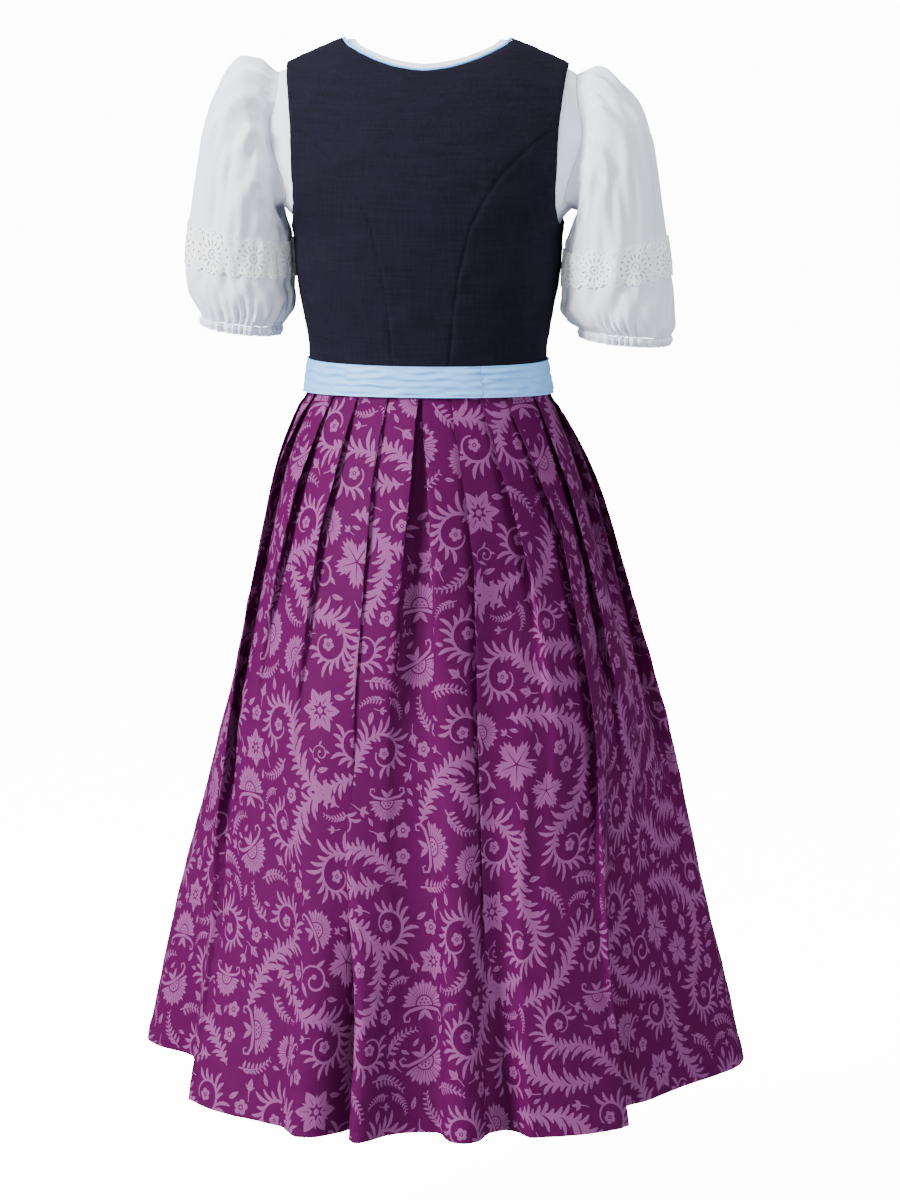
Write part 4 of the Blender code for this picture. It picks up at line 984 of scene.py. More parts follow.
RIGHT_PLEATS = [Pleat(*row) for row in (
    (0.030, 0.62, 0.6, (Seen(0.024, 0.001), Seen(0.414, 0.011))),
    (0.112, 1.00, 0.0, (Seen(0.034, 0.032), Seen(0.241, 0.052), Seen(0.471, 0.055), Seen(0.989, 0.076))),
    (0.200, 0.52, 0.7, (Seen(0.032, 0.063), Seen(0.244, 0.106), Seen(0.376, 0.1255))),
    (0.287, 1.30, 0.0, (
        Seen(0.028, 0.092), Seen(0.201, 0.1465), Seen(0.427, 0.177), Seen(0.641, 0.197),
        Seen(0.826, 0.207), Seen(0.978, 0.221),
    )),
    (0.380, 0.66, 0.5, (Seen(0.028, 0.133), Seen(0.242, 0.193), Seen(0.440, 0.242), Seen(0.572, 0.259))),
    (0.475, 0.50, 0.7, (Seen(0.045, 0.199), Seen(0.286, 0.275))), (0.570, 0.85, 0.3), (0.665, 0.60, 0.7),
    (0.760, 0.90, 0.3), (0.855, 0.60, 0.7), (0.950, 0.95, 0.3), (1.045, 0.55, 0.7),
)]


@dataclass
class SkirtShape:
    """The stack of plain ovals that the pleats, the apron and the bow stand off."""

    power: float = 0.90
    drift: float = 0.0145
    steps: int = 360
    curve: Curve = field(init=False)
    tables: dict[float, Array] = field(init=False, default_factory=dict)

    def __post_init__(self) -> None:
        """Prepares the ovals' sizes."""
        self.curve = Curve(SKIRT, [-row.z for row in SKIRT])

    def plan(self, angle: Array, v: float) -> Array:
        """Plan points of the oval at v: angle 0 is the centre back, +90 degrees the right side."""
        z = -mix(WAIST_SEAM, HEM, v)
        wide, back, front = (float(self.curve.at(z, name)) for name in ("half_width", "back", "front"))
        c = np.cos(angle)
        depth = np.where(c > 0, back, front)
        return np.stack([wide * np.sin(angle), -np.sign(c) * depth * np.abs(c) ** self.power], axis=-1)

    def table(self, v: float) -> Array:
        """Lengths along the half round at even angles."""
        key = round(float(v), 5)
        if key not in self.tables:
            self.tables[key] = running_lengths(self.plan(np.linspace(0, math.pi, self.steps + 1), key))
        return self.tables[key]

    def half_round(self, v: float) -> float:
        """Length of half the oval at v."""
        return float(self.table(v)[-1])

    def row(self, along: Array, v: float, stand: Array | float) -> Array:
        """Points at signed lengths along the oval from the centre back, standing off it.

        Args:
            along: lengths along the oval, positive to the wearer's right.
            v: share down the skirt.
            stand: how far out of the oval.

        Returns:
            The points, in the frame of the solids.
        """
        lengths = self.table(v)
        half = lengths[-1]
        along = (np.asarray(along, float) + half) % (2 * half) - half
        angle = np.interp(np.abs(along), lengths, np.linspace(0, math.pi, self.steps + 1)) * np.sign(along)
        here = self.plan(angle, v)
        tangent = unit(self.plan(angle + 0.01, v) - self.plan(angle - 0.01, v))
        x = here[..., 0] + tangent[..., 1] * stand
        y = here[..., 1] - tangent[..., 0] * stand
        z = mix(WAIST_SEAM, HEM, v) - WAIST_TILT * y * (1 - v) ** 3
        drift = self.drift * v**0.65 * smooth(v / 0.15)
        return np.stack([x + drift, y, z], axis=-1)


SKIRT_SHAPE = SkirtShape()
SKIRT_MIDDLE = np.array([0.0, 0.0, -0.7])


@dataclass
class PleatedSkirt:
    """Flat printed cloth laid into pleats at the waist and opening into lobes at the hem."""

    rows: int = 150
    step: float = 0.0005
    wall: float = 0.0007
    seam_left: float = -0.366
    seam_right: float = 0.380
    hem_half_round: float = 0.945
    shares: Array = field(init=False)
    waves: Curve = field(init=False)
    surface: Array = field(init=False)
    normals: Array = field(init=False)

    def __post_init__(self) -> None:
        """Works out the whole surface, row by row."""
        self.shares = np.linspace(0.0, 1.0, self.rows) ** 1.2
        self.waves = Curve(WAVES, [row.v for row in WAVES])
        self.surface = np.stack([self.row(float(v)) for v in self.shares])
        self.normals = grid_normals(self.surface, SKIRT_MIDDLE)

    def edges(self, pleats: Sequence[Pleat], v: float) -> Array:
        """How far along the round each pleat's edge lies at v."""
        half = SKIRT_SHAPE.half_round(v)
        places: list[float] = []
        for pleat in pleats:
            if not pleat.seen:
                break
            shares = np.array([seen.v for seen in pleat.seen])
            along = np.array([seen.along for seen in pleat.seen])
            i = int(np.clip(np.searchsorted(shares, v) - 1, 0, len(shares) - 2))
            f = (v - shares[i]) / (shares[i + 1] - shares[i])
            found = mix(along[i], along[i + 1], float(np.clip(f, -0.2, 1.6)))
            places.append(max(found, places[-1] + 0.006 if places else 0.0005))
        start, last = places[-1], pleats[len(places) - 1].flat
        for pleat in pleats[len(places):]:
            places.append(mix(start, half, (pleat.flat - last) / (HALF_WIDTH_FLAT - last)))
        return np.array(places)

    def side(self, left: bool, v: float) -> tuple[Array, Array, Array]:
        """One side's cloth at v: lengths along the round, levels, and how softly it is pressed."""
        pleats, others = (LEFT_PLEATS, RIGHT_PLEATS) if left else (RIGHT_PLEATS, LEFT_PLEATS)
        places = self.edges(pleats, v)
        opposite = self.edges(others, v)[0]
        height = float(self.waves.at(v, "height"))
        flats, along, level, soft = [0.0], [(places[0] - opposite) / 2], [-height], [pleats[0].soft]
        before_flat, before_along = 0.0, along[0]
        for pleat, place in zip(pleats, places):
            fade = 1 - float(smooth((v - pleat.reach * 0.45) / (pleat.reach * 0.55)))
            stand = height * (0.30 + 0.70 * fade)
            spare = (pleat.flat - before_flat) - (place - before_along) * (1 + 0.15 * v * v)
            lap = max(spare / 2, 0.0) * (0.25 + 0.75 * fade)
            flats += [pleat.flat - lap - 0.0008, pleat.flat]
            along += [place + lap, place]
            level += [-stand, stand]
            soft += [pleat.soft, pleat.soft]
            before_flat, before_along = pleat.flat, place
        flats.append(HALF_WIDTH_FLAT)
        along.append(SKIRT_SHAPE.half_round(v))
        level.append(-height * 0.6)
        soft.append(0.6)
        grid = np.arange(0.0, HALF_WIDTH_FLAT + self.step / 2, self.step)
        return tuple(np.interp(grid, flats, column) for column in (along, level, soft))

    def row(self, v: float) -> Array:
        """The surface's points at v, from the left of the centre front round to its right."""
        left = self.side(True, v)
        right = self.side(False, v)
        along = np.concatenate([-left[0][:0:-1], right[0]])
        level = np.concatenate([left[1][:0:-1], right[1]])
        soft = np.concatenate([left[2][:0:-1], right[2]])
        crisp = mix(0.0011, 0.0042, float(smooth(v / 0.7))) / self.step
        slack = mix(0.0014, 0.0130, float(smooth(v / 0.45))) / self.step
        soft = softened(soft, 0.008 / self.step)
        along = mix(softened(along, crisp), softened(along, slack), soft)
        level = mix(softened(level, crisp, "edge"), softened(level, slack, "edge"), soft)
        flat = np.linspace(-HALF_WIDTH_FLAT, HALF_WIDTH_FLAT, len(along))
        low_along, low_out = self.hem(flat)
        opening = float(smooth((v - 0.42) / 0.48))
        along = mix(along, low_along * SKIRT_SHAPE.half_round(v) / self.hem_half_round, opening)
        stand = level + low_out * v**1.25 + self.creases(flat, v)
        return SKIRT_SHAPE.row(along[::2], v, stand[::2])

    def hem(self, flat: Array) -> tuple[Array, Array]:
        """Where the hem of each flat place lies along the round, and how far out of it."""
        along, out = np.zeros(len(flat)), np.zeros(len(flat))
        for rows, sign in ((HEM_LEFT, -1), (HEM_RIGHT, 1)):
            lengths = running_lengths(np.array(rows))
            curve = Curve(rows, lengths * HALF_WIDTH_FLAT / lengths[-1])
            here = flat * sign >= 0
            along[here] = sign * curve.at(np.abs(flat[here]), "along")
            out[here] = curve.at(np.abs(flat[here]), "out")
        return along, out

    def creases(self, flat: Array, v: float) -> Array:
        """Small unevenness of the cloth, and the turned-up hem standing out a little."""
        down = np.full(len(flat), v * SKIRT_LENGTH)
        ramp = float(smooth((v - 0.03) / 0.25))
        slow = wander(flat, down * 0.35, 0.085, 5) * 0.0011
        quick = wander(flat, down * 0.8, 0.030, 9) * 0.00035
        turned = 0.0006 * float(smooth((v - 0.972) / 0.004))
        stitched = -0.0007 * math.exp(-(((v - 0.970) / 0.0022) ** 2))
        return (slow + quick) * ramp + turned + stitched

    def at(self, flat: Array) -> tuple[Array, Array]:
        """Surface points and normals for places (u, v) of the flat cloth."""
        columns = self.surface.shape[1] - 1
        c = np.clip((flat[:, 0] / HALF_WIDTH_FLAT + 1) / 2, 0, 1) * columns
        r = np.interp(flat[:, 1], self.shares, np.arange(self.rows))
        i, j = np.minimum(r.astype(int), self.rows - 2), np.minimum(c.astype(int), columns - 1)
        f, g = (r - i)[:, None], (c - j)[:, None]
        return between_points((self.surface, self.normals), i, j, j + 1, f, g)

    def lines(self, low: float, high: float, count: int) -> Array:
        """Places of a flat grid of rows from low to high, closer at the pleats' edges."""
        columns = [np.linspace(low, high, int((high - low) / 0.0100) + 1)]
        for sign, pleats in ((-1, LEFT_PLEATS), (1, RIGHT_PLEATS)):
            for pleat in pleats:
                away = np.array([-0.0060, -0.0030, -0.0011, 0.0, 0.0011, 0.0030])
                columns.append(sign * (pleat.flat + away))
        flats = np.sort(np.concatenate(columns))
        flats = flats[(flats > low + 0.0004) & (flats < high - 0.0004)]
        flats = flats[np.concatenate([[True], np.diff(flats) > 0.0006])]
        flats = np.concatenate([[low], flats, [high]])
        rows = np.concatenate([np.linspace(0, 0.03, 6), np.linspace(0.03, 1, count)[1:]])
        rows = np.sort(np.concatenate([rows, [0.9665, 0.9735]]))
        grid = np.stack(np.meshgrid(flats, rows), axis=-1).reshape(-1, 2)
        return np.vstack([grid, self.inner_folds(low, high, rows[rows < 0.45])])

    def inner_folds(self, low: float, high: float, rows: Array) -> Array:
        """Places along the hidden inner folds of the pleats."""
        found = []
        for v in rows:
            for sign, pleats in ((-1, LEFT_PLEATS), (1, RIGHT_PLEATS)):
                places = self.edges(pleats, float(v))
                steps = np.diff([pleat.flat for pleat in pleats]) - np.diff(places)
                for pleat, spare in zip(pleats[1:], steps):
                    if spare < 0.008:
                        continue
                    for away in (-0.0011, 0.0011):
                        found.append((sign * (pleat.flat - spare / 2) + away, float(v)))
        points = np.array(found)
        return points[(points[:, 0] > low + 0.002) & (points[:, 0] < high - 0.002)]

    def build(self) -> None:
        repeat = PrintRepeat()
        spans = (
            ("skirt_left", -HALF_WIDTH_FLAT, self.seam_left), ("skirt_back", self.seam_left, self.seam_right),
            ("skirt_right", self.seam_right, HALF_WIDTH_FLAT),
        )
        for name, low, high in spans:
            flat, faces, inks = repeat.cut(self.lines(low, high, 62), low, high)
            outer, normals = self.at(flat)
            lining = self.lining(flat, faces, low, high)
            inside_points, inward = self.at(lining.places / np.array([1.0, SKIRT_LENGTH]))
            piece = Piece(
                f"printed_{name}", outer, inside_points - inward * self.wall, faces,
                (PRINT_GROUND, PRINT_INK), "magenta_print", name, inks,
                flat * np.array([1.0, SKIRT_LENGTH]), 40.0, lining,
            ).build()

    def lining(self, flat: Array, faces: Array, low: float, high: float) -> Lining:
        """The cloth's inner side: the outer side's edge, and a coarser grid within it."""
        loop = edge_loop(faces)
        scale = np.array([1.0, SKIRT_LENGTH])
        grid = self.lines(low, high, 34)
        within = (grid[:, 0] > low + 0.002) & (grid[:, 0] < high - 0.002)
        within &= (grid[:, 1] > 0.003) & (grid[:, 1] < 0.997)
        corners = np.vstack([flat[loop], grid[within]]) * scale
        made, _, triangles, first, _, _ = delaunay_2d_cdt(
            [Vector(p) for p in corners.tolist()], [], [list(range(len(loop)))], 1, 1e-7
        )
        twins = np.full(len(flat), -1)
        for index, sources in enumerate(first):
            for source in sources:
                if source < len(loop):
                    twins[loop[source]] = index
        return Lining(np.array([p[:] for p in made]), np.array([list(t) for t in triangles]), twins)


# Print

Shape = tuple[Array, int]


def circle(radius: float, count: int = 9, centre: Spot = (0.0, 0.0)) -> Array:
    """A round outline."""
    turn = np.linspace(0, math.tau, count, endpoint=False)
    return np.stack([centre[0] + radius * np.cos(turn), centre[1] + radius * np.sin(turn)], axis=1)


def around(
    count: int, radius: float, centre: Spot = (0.0, 0.0), start: float = 0.0
) -> list[tuple[float, Spot]]:
    """Angles in even steps round a circle, each with its place on it."""
    angles = [math.tau * (k + start) / count for k in range(count)]
    return [(t, (centre[0] + radius * math.cos(t), centre[1] + radius * math.sin(t))) for t in angles]


def drop(length: float, width: float, bend: float = 0.0, count: int = 4) -> Array:
    """A pointed leaf along +x from the origin, bent to one side."""
    f = np.linspace(0, 1, count + 1)
    half = width / 2 * np.sin(math.pi * f**0.75) ** 0.9
    middle = bend * length * f**2.4
    upper = np.stack([length * f, middle + half], axis=1)
    lower = np.stack([length * f, middle - half], axis=1)
    return np.vstack([upper, lower[-2:0:-1]])


def turned(points: Array, angle: float, x: float = 0.0, y: float = 0.0, size: float = 1.0) -> Array:
    """The points scaled, turned and moved."""
    c, s = math.cos(angle), math.sin(angle)
    return points @ np.array([[c, s], [-s, c]]) * size + np.array([x, y])


def counterclockwise(points: Array) -> Array:
    """The outline's points in counterclockwise order."""
    after = np.roll(points, -1, axis=0)
    area = (points[:, 0] * after[:, 1] - after[:, 0] * points[:, 1]).sum()
    return points if area > 0 else points[::-1]


def spaced(outline: Path, step: float) -> Array:
    """A closed outline with places added so that none lie further apart than the step."""
    path = np.array(outline, float)
    points = []
    for a, b in zip(path, np.roll(path, -1, axis=0)):
        count = max(int(math.ceil(np.linalg.norm(b - a) / step)), 1)
        points += [mix(a, b, k / count) for k in range(count)]
    return np.array(points)


def stroke(path: Array, widths: Array, chunk: int = 4) -> list[Shape]:
    """A band of changing width along a path, in short lengths that meet."""
    way = unit(np.gradient(path, axis=0))
    side = np.stack([-way[:, 1], way[:, 0]], axis=1) * widths[:, None] / 2
    left, right = path + side, path - side
    parts = []
    for i in range(0, len(path) - 1, chunk):
        j = min(i + chunk, len(path) - 1)
        parts.append((np.vstack([left[i:j + 1], right[i:j + 1][::-1]]), 1))
    return parts


def cut_along(places: Array, outline: Array, shapes: Sequence[Shape]) -> tuple[Array, Array, Array]:
    """Cuts a flat outline into triangles along shapes that lie on it.

    Args:
        places: points that the triangles' corners include.
        outline: the cloth's closed outline.
        shapes: outlines with their inks, later ones on top.

    Returns:
        The corners, the triangles, and each triangle's ink, 0 where no shape lies.
    """
    inks = [0] + [ink for _, ink in shapes]
    corners = [Vector(p) for p in places.tolist()]
    faces = []
    for polygon in [outline] + [points for points, _ in shapes]:
        faces.append(list(range(len(corners), len(corners) + len(polygon))))
        corners += [Vector(p) for p in counterclockwise(polygon).tolist()]
    made, _, triangles, _, _, origins = delaunay_2d_cdt(corners, [], faces, 0, 1e-6)
    kept, found = [], []
    for triangle, origin in zip(triangles, origins):
        if 0 in origin:
            kept.append(triangle)
            found.append(inks[max(origin)])
    return compact(np.array([p[:] for p in made]), np.array(kept), np.array(found))


def compact(places: Array, faces: Array, inks: Array) -> tuple[Array, Array, Array]:
    """Drops the corners that no triangle uses."""
    used = np.unique(faces)
    number = np.zeros(len(places), int)
    number[used] = np.arange(len(used))
    return places[used], number[faces], inks


class Ornament(Enum):
    """The print's common plant ornaments."""

    SCROLL = "scroll"
    CURL = "curl"
    FAN = "fan"
    VINE_LEAF = "vine_leaf"
    STAR = "star"
    ROSE = "rose"
    FROND = "frond"
    SPRIG = "sprig"
    BUD = "bud"
    LEAF = "leaf"
    VINE = "vine"


@dataclass
class Draughtsman:
    """Draws each ornament about the origin, in metres, as outlines of print and of ground."""

    def draw(self, ornament: Ornament) -> list[Shape]:
        """The outlines of an ornament, later ones on top."""
        return getattr(self, ornament.value)()

    def spiral(self, start: float, turns: float, wide: float, narrow: float, count: int) -> Array:
        """A path that winds in towards the origin."""
        f = np.linspace(0, 1, count)
        radius = mix(wide, narrow, f**0.8)
        angle = start + math.tau * turns * f
        return np.stack([radius * np.cos(angle), radius * np.sin(angle)], axis=1)

    def feather(self, length: float, width: float, bend: float) -> Array:
        """A leaflet with a narrow foot and a round curled end, along +x from the origin."""
        f = np.array([0.0, 0.36, 0.66, 0.88, 1.0])
        half = width / 2 * np.array([0.30, 0.72, 1.0, 0.80, 0.0])
        middle = bend * length * f**2.6
        upper = np.stack([length * f, middle + half], axis=1)
        lower = np.stack([length * f, middle - half], axis=1)
        return np.vstack([upper, lower[-2::-1]])

    def feathered(self, path: Array, side: int, gap: float, long: float, lean: float) -> list[Shape]:
        """Curled leaflets in a row along one side of a stem, in tufts of three.

        Args:
            path: the stem's points.
            side: 1 for its left, -1 for its right.
            gap: the distance from one leaflet to the next.
            long: the longest leaflet's length.
            lean: the angle between the stem and a leaflet.

        Returns:
            The leaflets' outlines.
        """
        lengths = running_lengths(path)
        heading = np.unwrap(np.arctan2(*np.gradient(path, axis=0).T[::-1]))
        shapes: list[Shape] = []
        for k, along in enumerate(np.arange(gap * 0.6, lengths[-1], gap)):
            f = along / lengths[-1]
            size = long * (0.60, 0.82, 1.0)[k % 3] * (0.45 + 0.55 * math.sin(math.pi * (0.12 + 0.80 * f)))
            place = [float(np.interp(along, lengths, path[:, axis])) for axis in range(2)]
            angle = float(np.interp(along, lengths, heading)) + side * (lean + 0.16 * (k % 3 - 1))
            leaflet = self.feather(size, gap * 0.82, side * 0.50)
            shapes.append((turned(leaflet, angle, *place), 1))
        return shapes

    def rosette(self, x: float, y: float, radius: float) -> list[Shape]:
        """A little flower that ends a scroll."""
        shapes: list[Shape] = []
        for k in range(5):
            angle = math.tau * k / 5
            petal = (x + radius * 0.62 * math.cos(angle), y + radius * 0.62 * math.sin(angle))
            shapes.append((circle(radius * 0.46, 7, petal), 1))
        shapes.append((circle(radius * 0.36, 6, (x, y)), 0))
        shapes.append((circle(radius * 0.20, 5, (x, y)), 1))
        return shapes

    def scroll(self) -> list[Shape]:
        """A large scroll with feathered leaflets and a little flower at its end."""
        head = self.spiral(-2.2, 1.05, 0.0270, 0.0085, 20)
        way = unit(head[:1] - head[1:2])[0]
        f = np.linspace(1, 0, 10)[:-1, None]
        bow = np.array([way[1], -way[0]]) * 0.027
        tail = head[0] + way * 0.066 * f - bow * f * f * 2.0
        path = np.vstack([tail, head])
        f = np.linspace(0, 1, len(path))
        shapes = stroke(path, mix(0.0014, 0.0032, np.sin(math.pi * f**0.8)))
        shapes += self.feathered(path[:-5], -1, 0.0060, 0.0225, 0.40)
        shapes += self.feathered(path[:14], 1, 0.0066, 0.0130, 0.42)
        return shapes + self.rosette(0.0010, 0.0, 0.0062)

    def vine(self) -> list[Shape]:
        """A waving stem with leaflets to either side."""
        f = np.linspace(0, 1, 15)
        path = np.stack([0.086 * (f - 0.5), 0.0130 * np.sin(math.tau * f)], axis=1)
        shapes = stroke(path, mix(0.0010, 0.0024, np.sin(math.pi * f)))
        for side in (-1, 1):
            shapes += self.feathered(path, side, 0.0066, 0.0170, 0.45)
        shapes.append((turned(drop(0.0120, 0.0050), -0.4, *path[-1]), 1))
        return shapes

    def curl(self) -> list[Shape]:
        """A small tendril with a few leaves."""
        path = self.spiral(0.4, 1.25, 0.0170, 0.0035, 18)
        f = np.linspace(0, 1, len(path))
        shapes = stroke(path, mix(0.0011, 0.0024, np.sin(math.pi * f)))
        shapes.append((circle(0.0024, 8, tuple(path[-1])), 1))
        direction = unit(np.gradient(path, axis=0))
        for i, length in ((1, 0.012), (4, 0.011), (7, 0.009)):
            angle = math.atan2(direction[i][1], direction[i][0]) - 0.7
            shapes.append((turned(drop(length, 0.0040, -0.15), angle, *path[i]), 1))
        shapes.append((turned(drop(0.016, 0.0052, 0.2), -1.9, *path[0]), 1))
        return shapes

    def fan(self) -> list[Shape]:
        """A half-round fan of ribs over a little heart of scales."""
        shapes: list[Shape] = []
        for k in range(17):
            angle = math.pi * (0.02 + 0.96 * k / 16)
            long = 0.0265 - 0.0028 * (k % 2)
            rib = np.array([
                (0.0105, -0.0007), (long * 0.88, -0.0019), (long, 0.0), (long * 0.88, 0.0019),
                (0.0105, 0.0007),
            ])
            shapes.append((turned(rib, angle), 1))
        arc = np.linspace(0.0, math.pi, 11)
        outer = np.stack([0.0092 * np.cos(arc), 0.0092 * np.sin(arc)], axis=1)
        shapes.append((outer, 1))
        for x, y in ((-0.0045, 0.0022), (0.0, 0.0022), (0.0045, 0.0022), (-0.0022, 0.0056), (0.0022, 0.0056)):
            shapes.append((circle(0.0011, 7, (x, y)), 0))
        for sign in (-1, 1):
            path = np.array([(sign * x, y) for x, y in (
                (0.0, -0.0022), (0.009, -0.0034), (0.018, -0.0050), (0.0245, -0.0095), (0.0240, -0.0150),
                (0.0190, -0.0155), (0.0178, -0.0115),
            )])
            shapes += stroke(path, np.array([0.0030, 0.0036, 0.0034, 0.0030, 0.0024, 0.0020, 0.0014]), 2)
            heart = drop(0.0145, 0.0058, 0.15 * sign)
            shapes.append((turned(heart, -math.pi / 2 + sign * 0.5, 0.0, -0.0040), 1))
        return shapes

    def vine_leaf(self) -> list[Shape]:
        """A five-lobed leaf with notched edges and clear veins."""
        turn = np.linspace(-math.pi, math.pi, 61)[:-1]
        lobes = np.abs(np.cos(turn * 2.5)) ** 0.7
        notches = 1 + 0.13 * np.where(np.arange(60) % 2, 1.0, -1.0)
        radius = 0.0235 * (0.46 + 0.54 * lobes) * notches * (1 - 0.35 * bump(np.abs(turn), math.pi, 0.5))
        shapes: list[Shape] = [(np.stack([radius * np.cos(turn), radius * np.sin(turn)], axis=1), 1)]
        for k in (-2, -1, 0, 1, 2):
            angle = k * math.tau / 5
            vein = np.array([(-0.0015, -0.0008), (0.019, -0.0001), (0.019, 0.0001), (-0.0015, 0.0008)])
            shapes.append((turned(vein, angle), 0))
        stem = np.array([(-0.004, 0.0), (-0.013, -0.001), (-0.022, -0.005)])
        return shapes + stroke(stem, np.array([0.0022, 0.0020, 0.0014]), 2)

    def star(self) -> list[Shape]:
        """A flower of six pointed petals, each with a clear midrib."""
        shapes: list[Shape] = []
        for angle, (x, y) in around(6, 0.0042):
            shapes.append((turned(drop(0.0185, 0.0115), angle, x, y), 1))
            rib = np.array([(0.0075, -0.0006), (0.0170, 0.0), (0.0075, 0.0006)])
            shapes.append((turned(rib, angle), 0))
            half = angle + math.pi / 6
            sepal = turned(drop(0.0095, 0.0026), half, 0.0080 * math.cos(half), 0.0080 * math.sin(half))
            shapes.append((sepal, 1))
        shapes.append((circle(0.0033, 9), 1))
        return shapes

    def rose(self) -> list[Shape]:
        """A small five-petalled flower with a ring and a dot."""
        shapes: list[Shape] = [(circle(0.0037, 9, spot), 1) for _, spot in around(5, 0.0052)]
        shapes.append((circle(0.0031, 9), 0))
        shapes.append((circle(0.0019, 8), 1))
        return shapes

    def frond(self) -> list[Shape]:
        """A feathery leaf: a stem with leaflets in pairs."""
        f = np.linspace(0, 1, 9)
        path = np.stack([0.044 * f, 0.010 * np.sin(math.pi * f * 0.8)], axis=1)
        shapes = stroke(path, mix(0.0020, 0.0009, f))
        for i in range(1, 9):
            size = 1.0 - 0.07 * i
            for sign in (-1, 1):
                leaflet = drop(0.0115 * size, 0.0042 * size, 0.0, 3)
                shapes.append((turned(leaflet, sign * 0.85 + 0.1, *path[i]), 1))
        return shapes

    def sprig(self) -> list[Shape]:
        """Three drops on a short stem."""
        stem = np.array([(-0.011, -0.003), (-0.005, -0.001), (0.0, 0.0)])
        shapes = stroke(stem, np.array([0.0010, 0.0014, 0.0018]), 2)
        for angle, length in ((-0.75, 0.0095), (0.0, 0.0125), (0.75, 0.0095)):
            shapes.append((turned(drop(length, 0.0048, 0.0, 3), angle), 1))
        return shapes

    def bud(self) -> list[Shape]:
        """A closed bud in its cup."""
        shapes: list[Shape] = [(drop(0.0150, 0.0078), 1)]
        shapes.append((np.array([(0.0045, -0.0004), (0.0125, 0.0), (0.0045, 0.0004)]), 0))
        for sign in (-1, 1):
            shapes.append((turned(drop(0.0100, 0.0034, 0.25 * sign), sign * 0.55, -0.0008, 0.0), 1))
        stem = np.array([(-0.012, 0.003), (-0.006, 0.0008), (0.0, 0.0)])
        shapes += stroke(stem, np.array([0.0010, 0.0013, 0.0018]), 2)
        return shapes

    def leaf(self) -> list[Shape]:
        """A single drop with a clear midrib."""
        rib = np.array([(0.0025, -0.0004), (0.0120, 0.0), (0.0025, 0.0004)])
        return [(drop(0.0160, 0.0066, 0.1), 1), (rib, 0)]


class Charted(NamedTuple):
    """Where an ornament lies in the repeat: millimetres, degrees, size, and 1 where it is flipped."""

    ornament: Ornament
    x: float
    y: float
    turn: float
    size: float
    flipped: int


CHART = [Charted(*row) for row in (
    (Ornament.SCROLL, 130, 62, 10, 1.05, 0), (Ornament.SCROLL, 232, 62, 130, 1.00, 1),
    (Ornament.SCROLL, 60, 150, 250, 1.05, 1), (Ornament.SCROLL, 168, 156, 60, 1.05, 0),
    (Ornament.SCROLL, 262, 168, 300, 0.95, 0), (Ornament.SCROLL, 70, 246, 120, 1.05, 0),
    (Ornament.SCROLL, 146, 292, 215, 1.05, 1), (Ornament.SCROLL, 262, 340, 35, 1.05, 1),
    (Ornament.SCROLL, 60, 345, 330, 1.00, 1), (Ornament.VINE_LEAF, 158, 378, 160, 1.05, 0),
    (Ornament.FAN, 20, 62, 80, 1.00, 1), (Ornament.SCROLL, 214, 240, 190, 0.90, 0),
)]


class Filler(NamedTuple):
    """An ornament scattered between the charted ones: how often it is tried, and its size."""

    ornament: Ornament
    tries: int
    size: float


FILLERS = [Filler(*row) for row in (
    (Ornament.FAN, 400, 1.00), (Ornament.STAR, 120, 1.05), (Ornament.VINE_LEAF, 400, 1.00),
    (Ornament.SCROLL, 900, 0.78), (Ornament.FAN, 200, 0.80), (Ornament.SCROLL, 900, 0.58),
    (Ornament.VINE, 900, 0.90), (Ornament.STAR, 100, 0.85), (Ornament.VINE_LEAF, 200, 0.80),
    (Ornament.FROND, 900, 0.95), (Ornament.CURL, 600, 1.15), (Ornament.VINE, 900, 0.62),
    (Ornament.CURL, 600, 0.90), (Ornament.ROSE, 300, 0.95), (Ornament.FROND, 900, 0.62),
    (Ornament.CURL, 500, 0.62), (Ornament.BUD, 600, 0.90), (Ornament.SPRIG, 600, 0.90),
    (Ornament.LEAF, 600, 0.90), (Ornament.SPRIG, 400, 0.66), (Ornament.LEAF, 600, 0.66),
)]


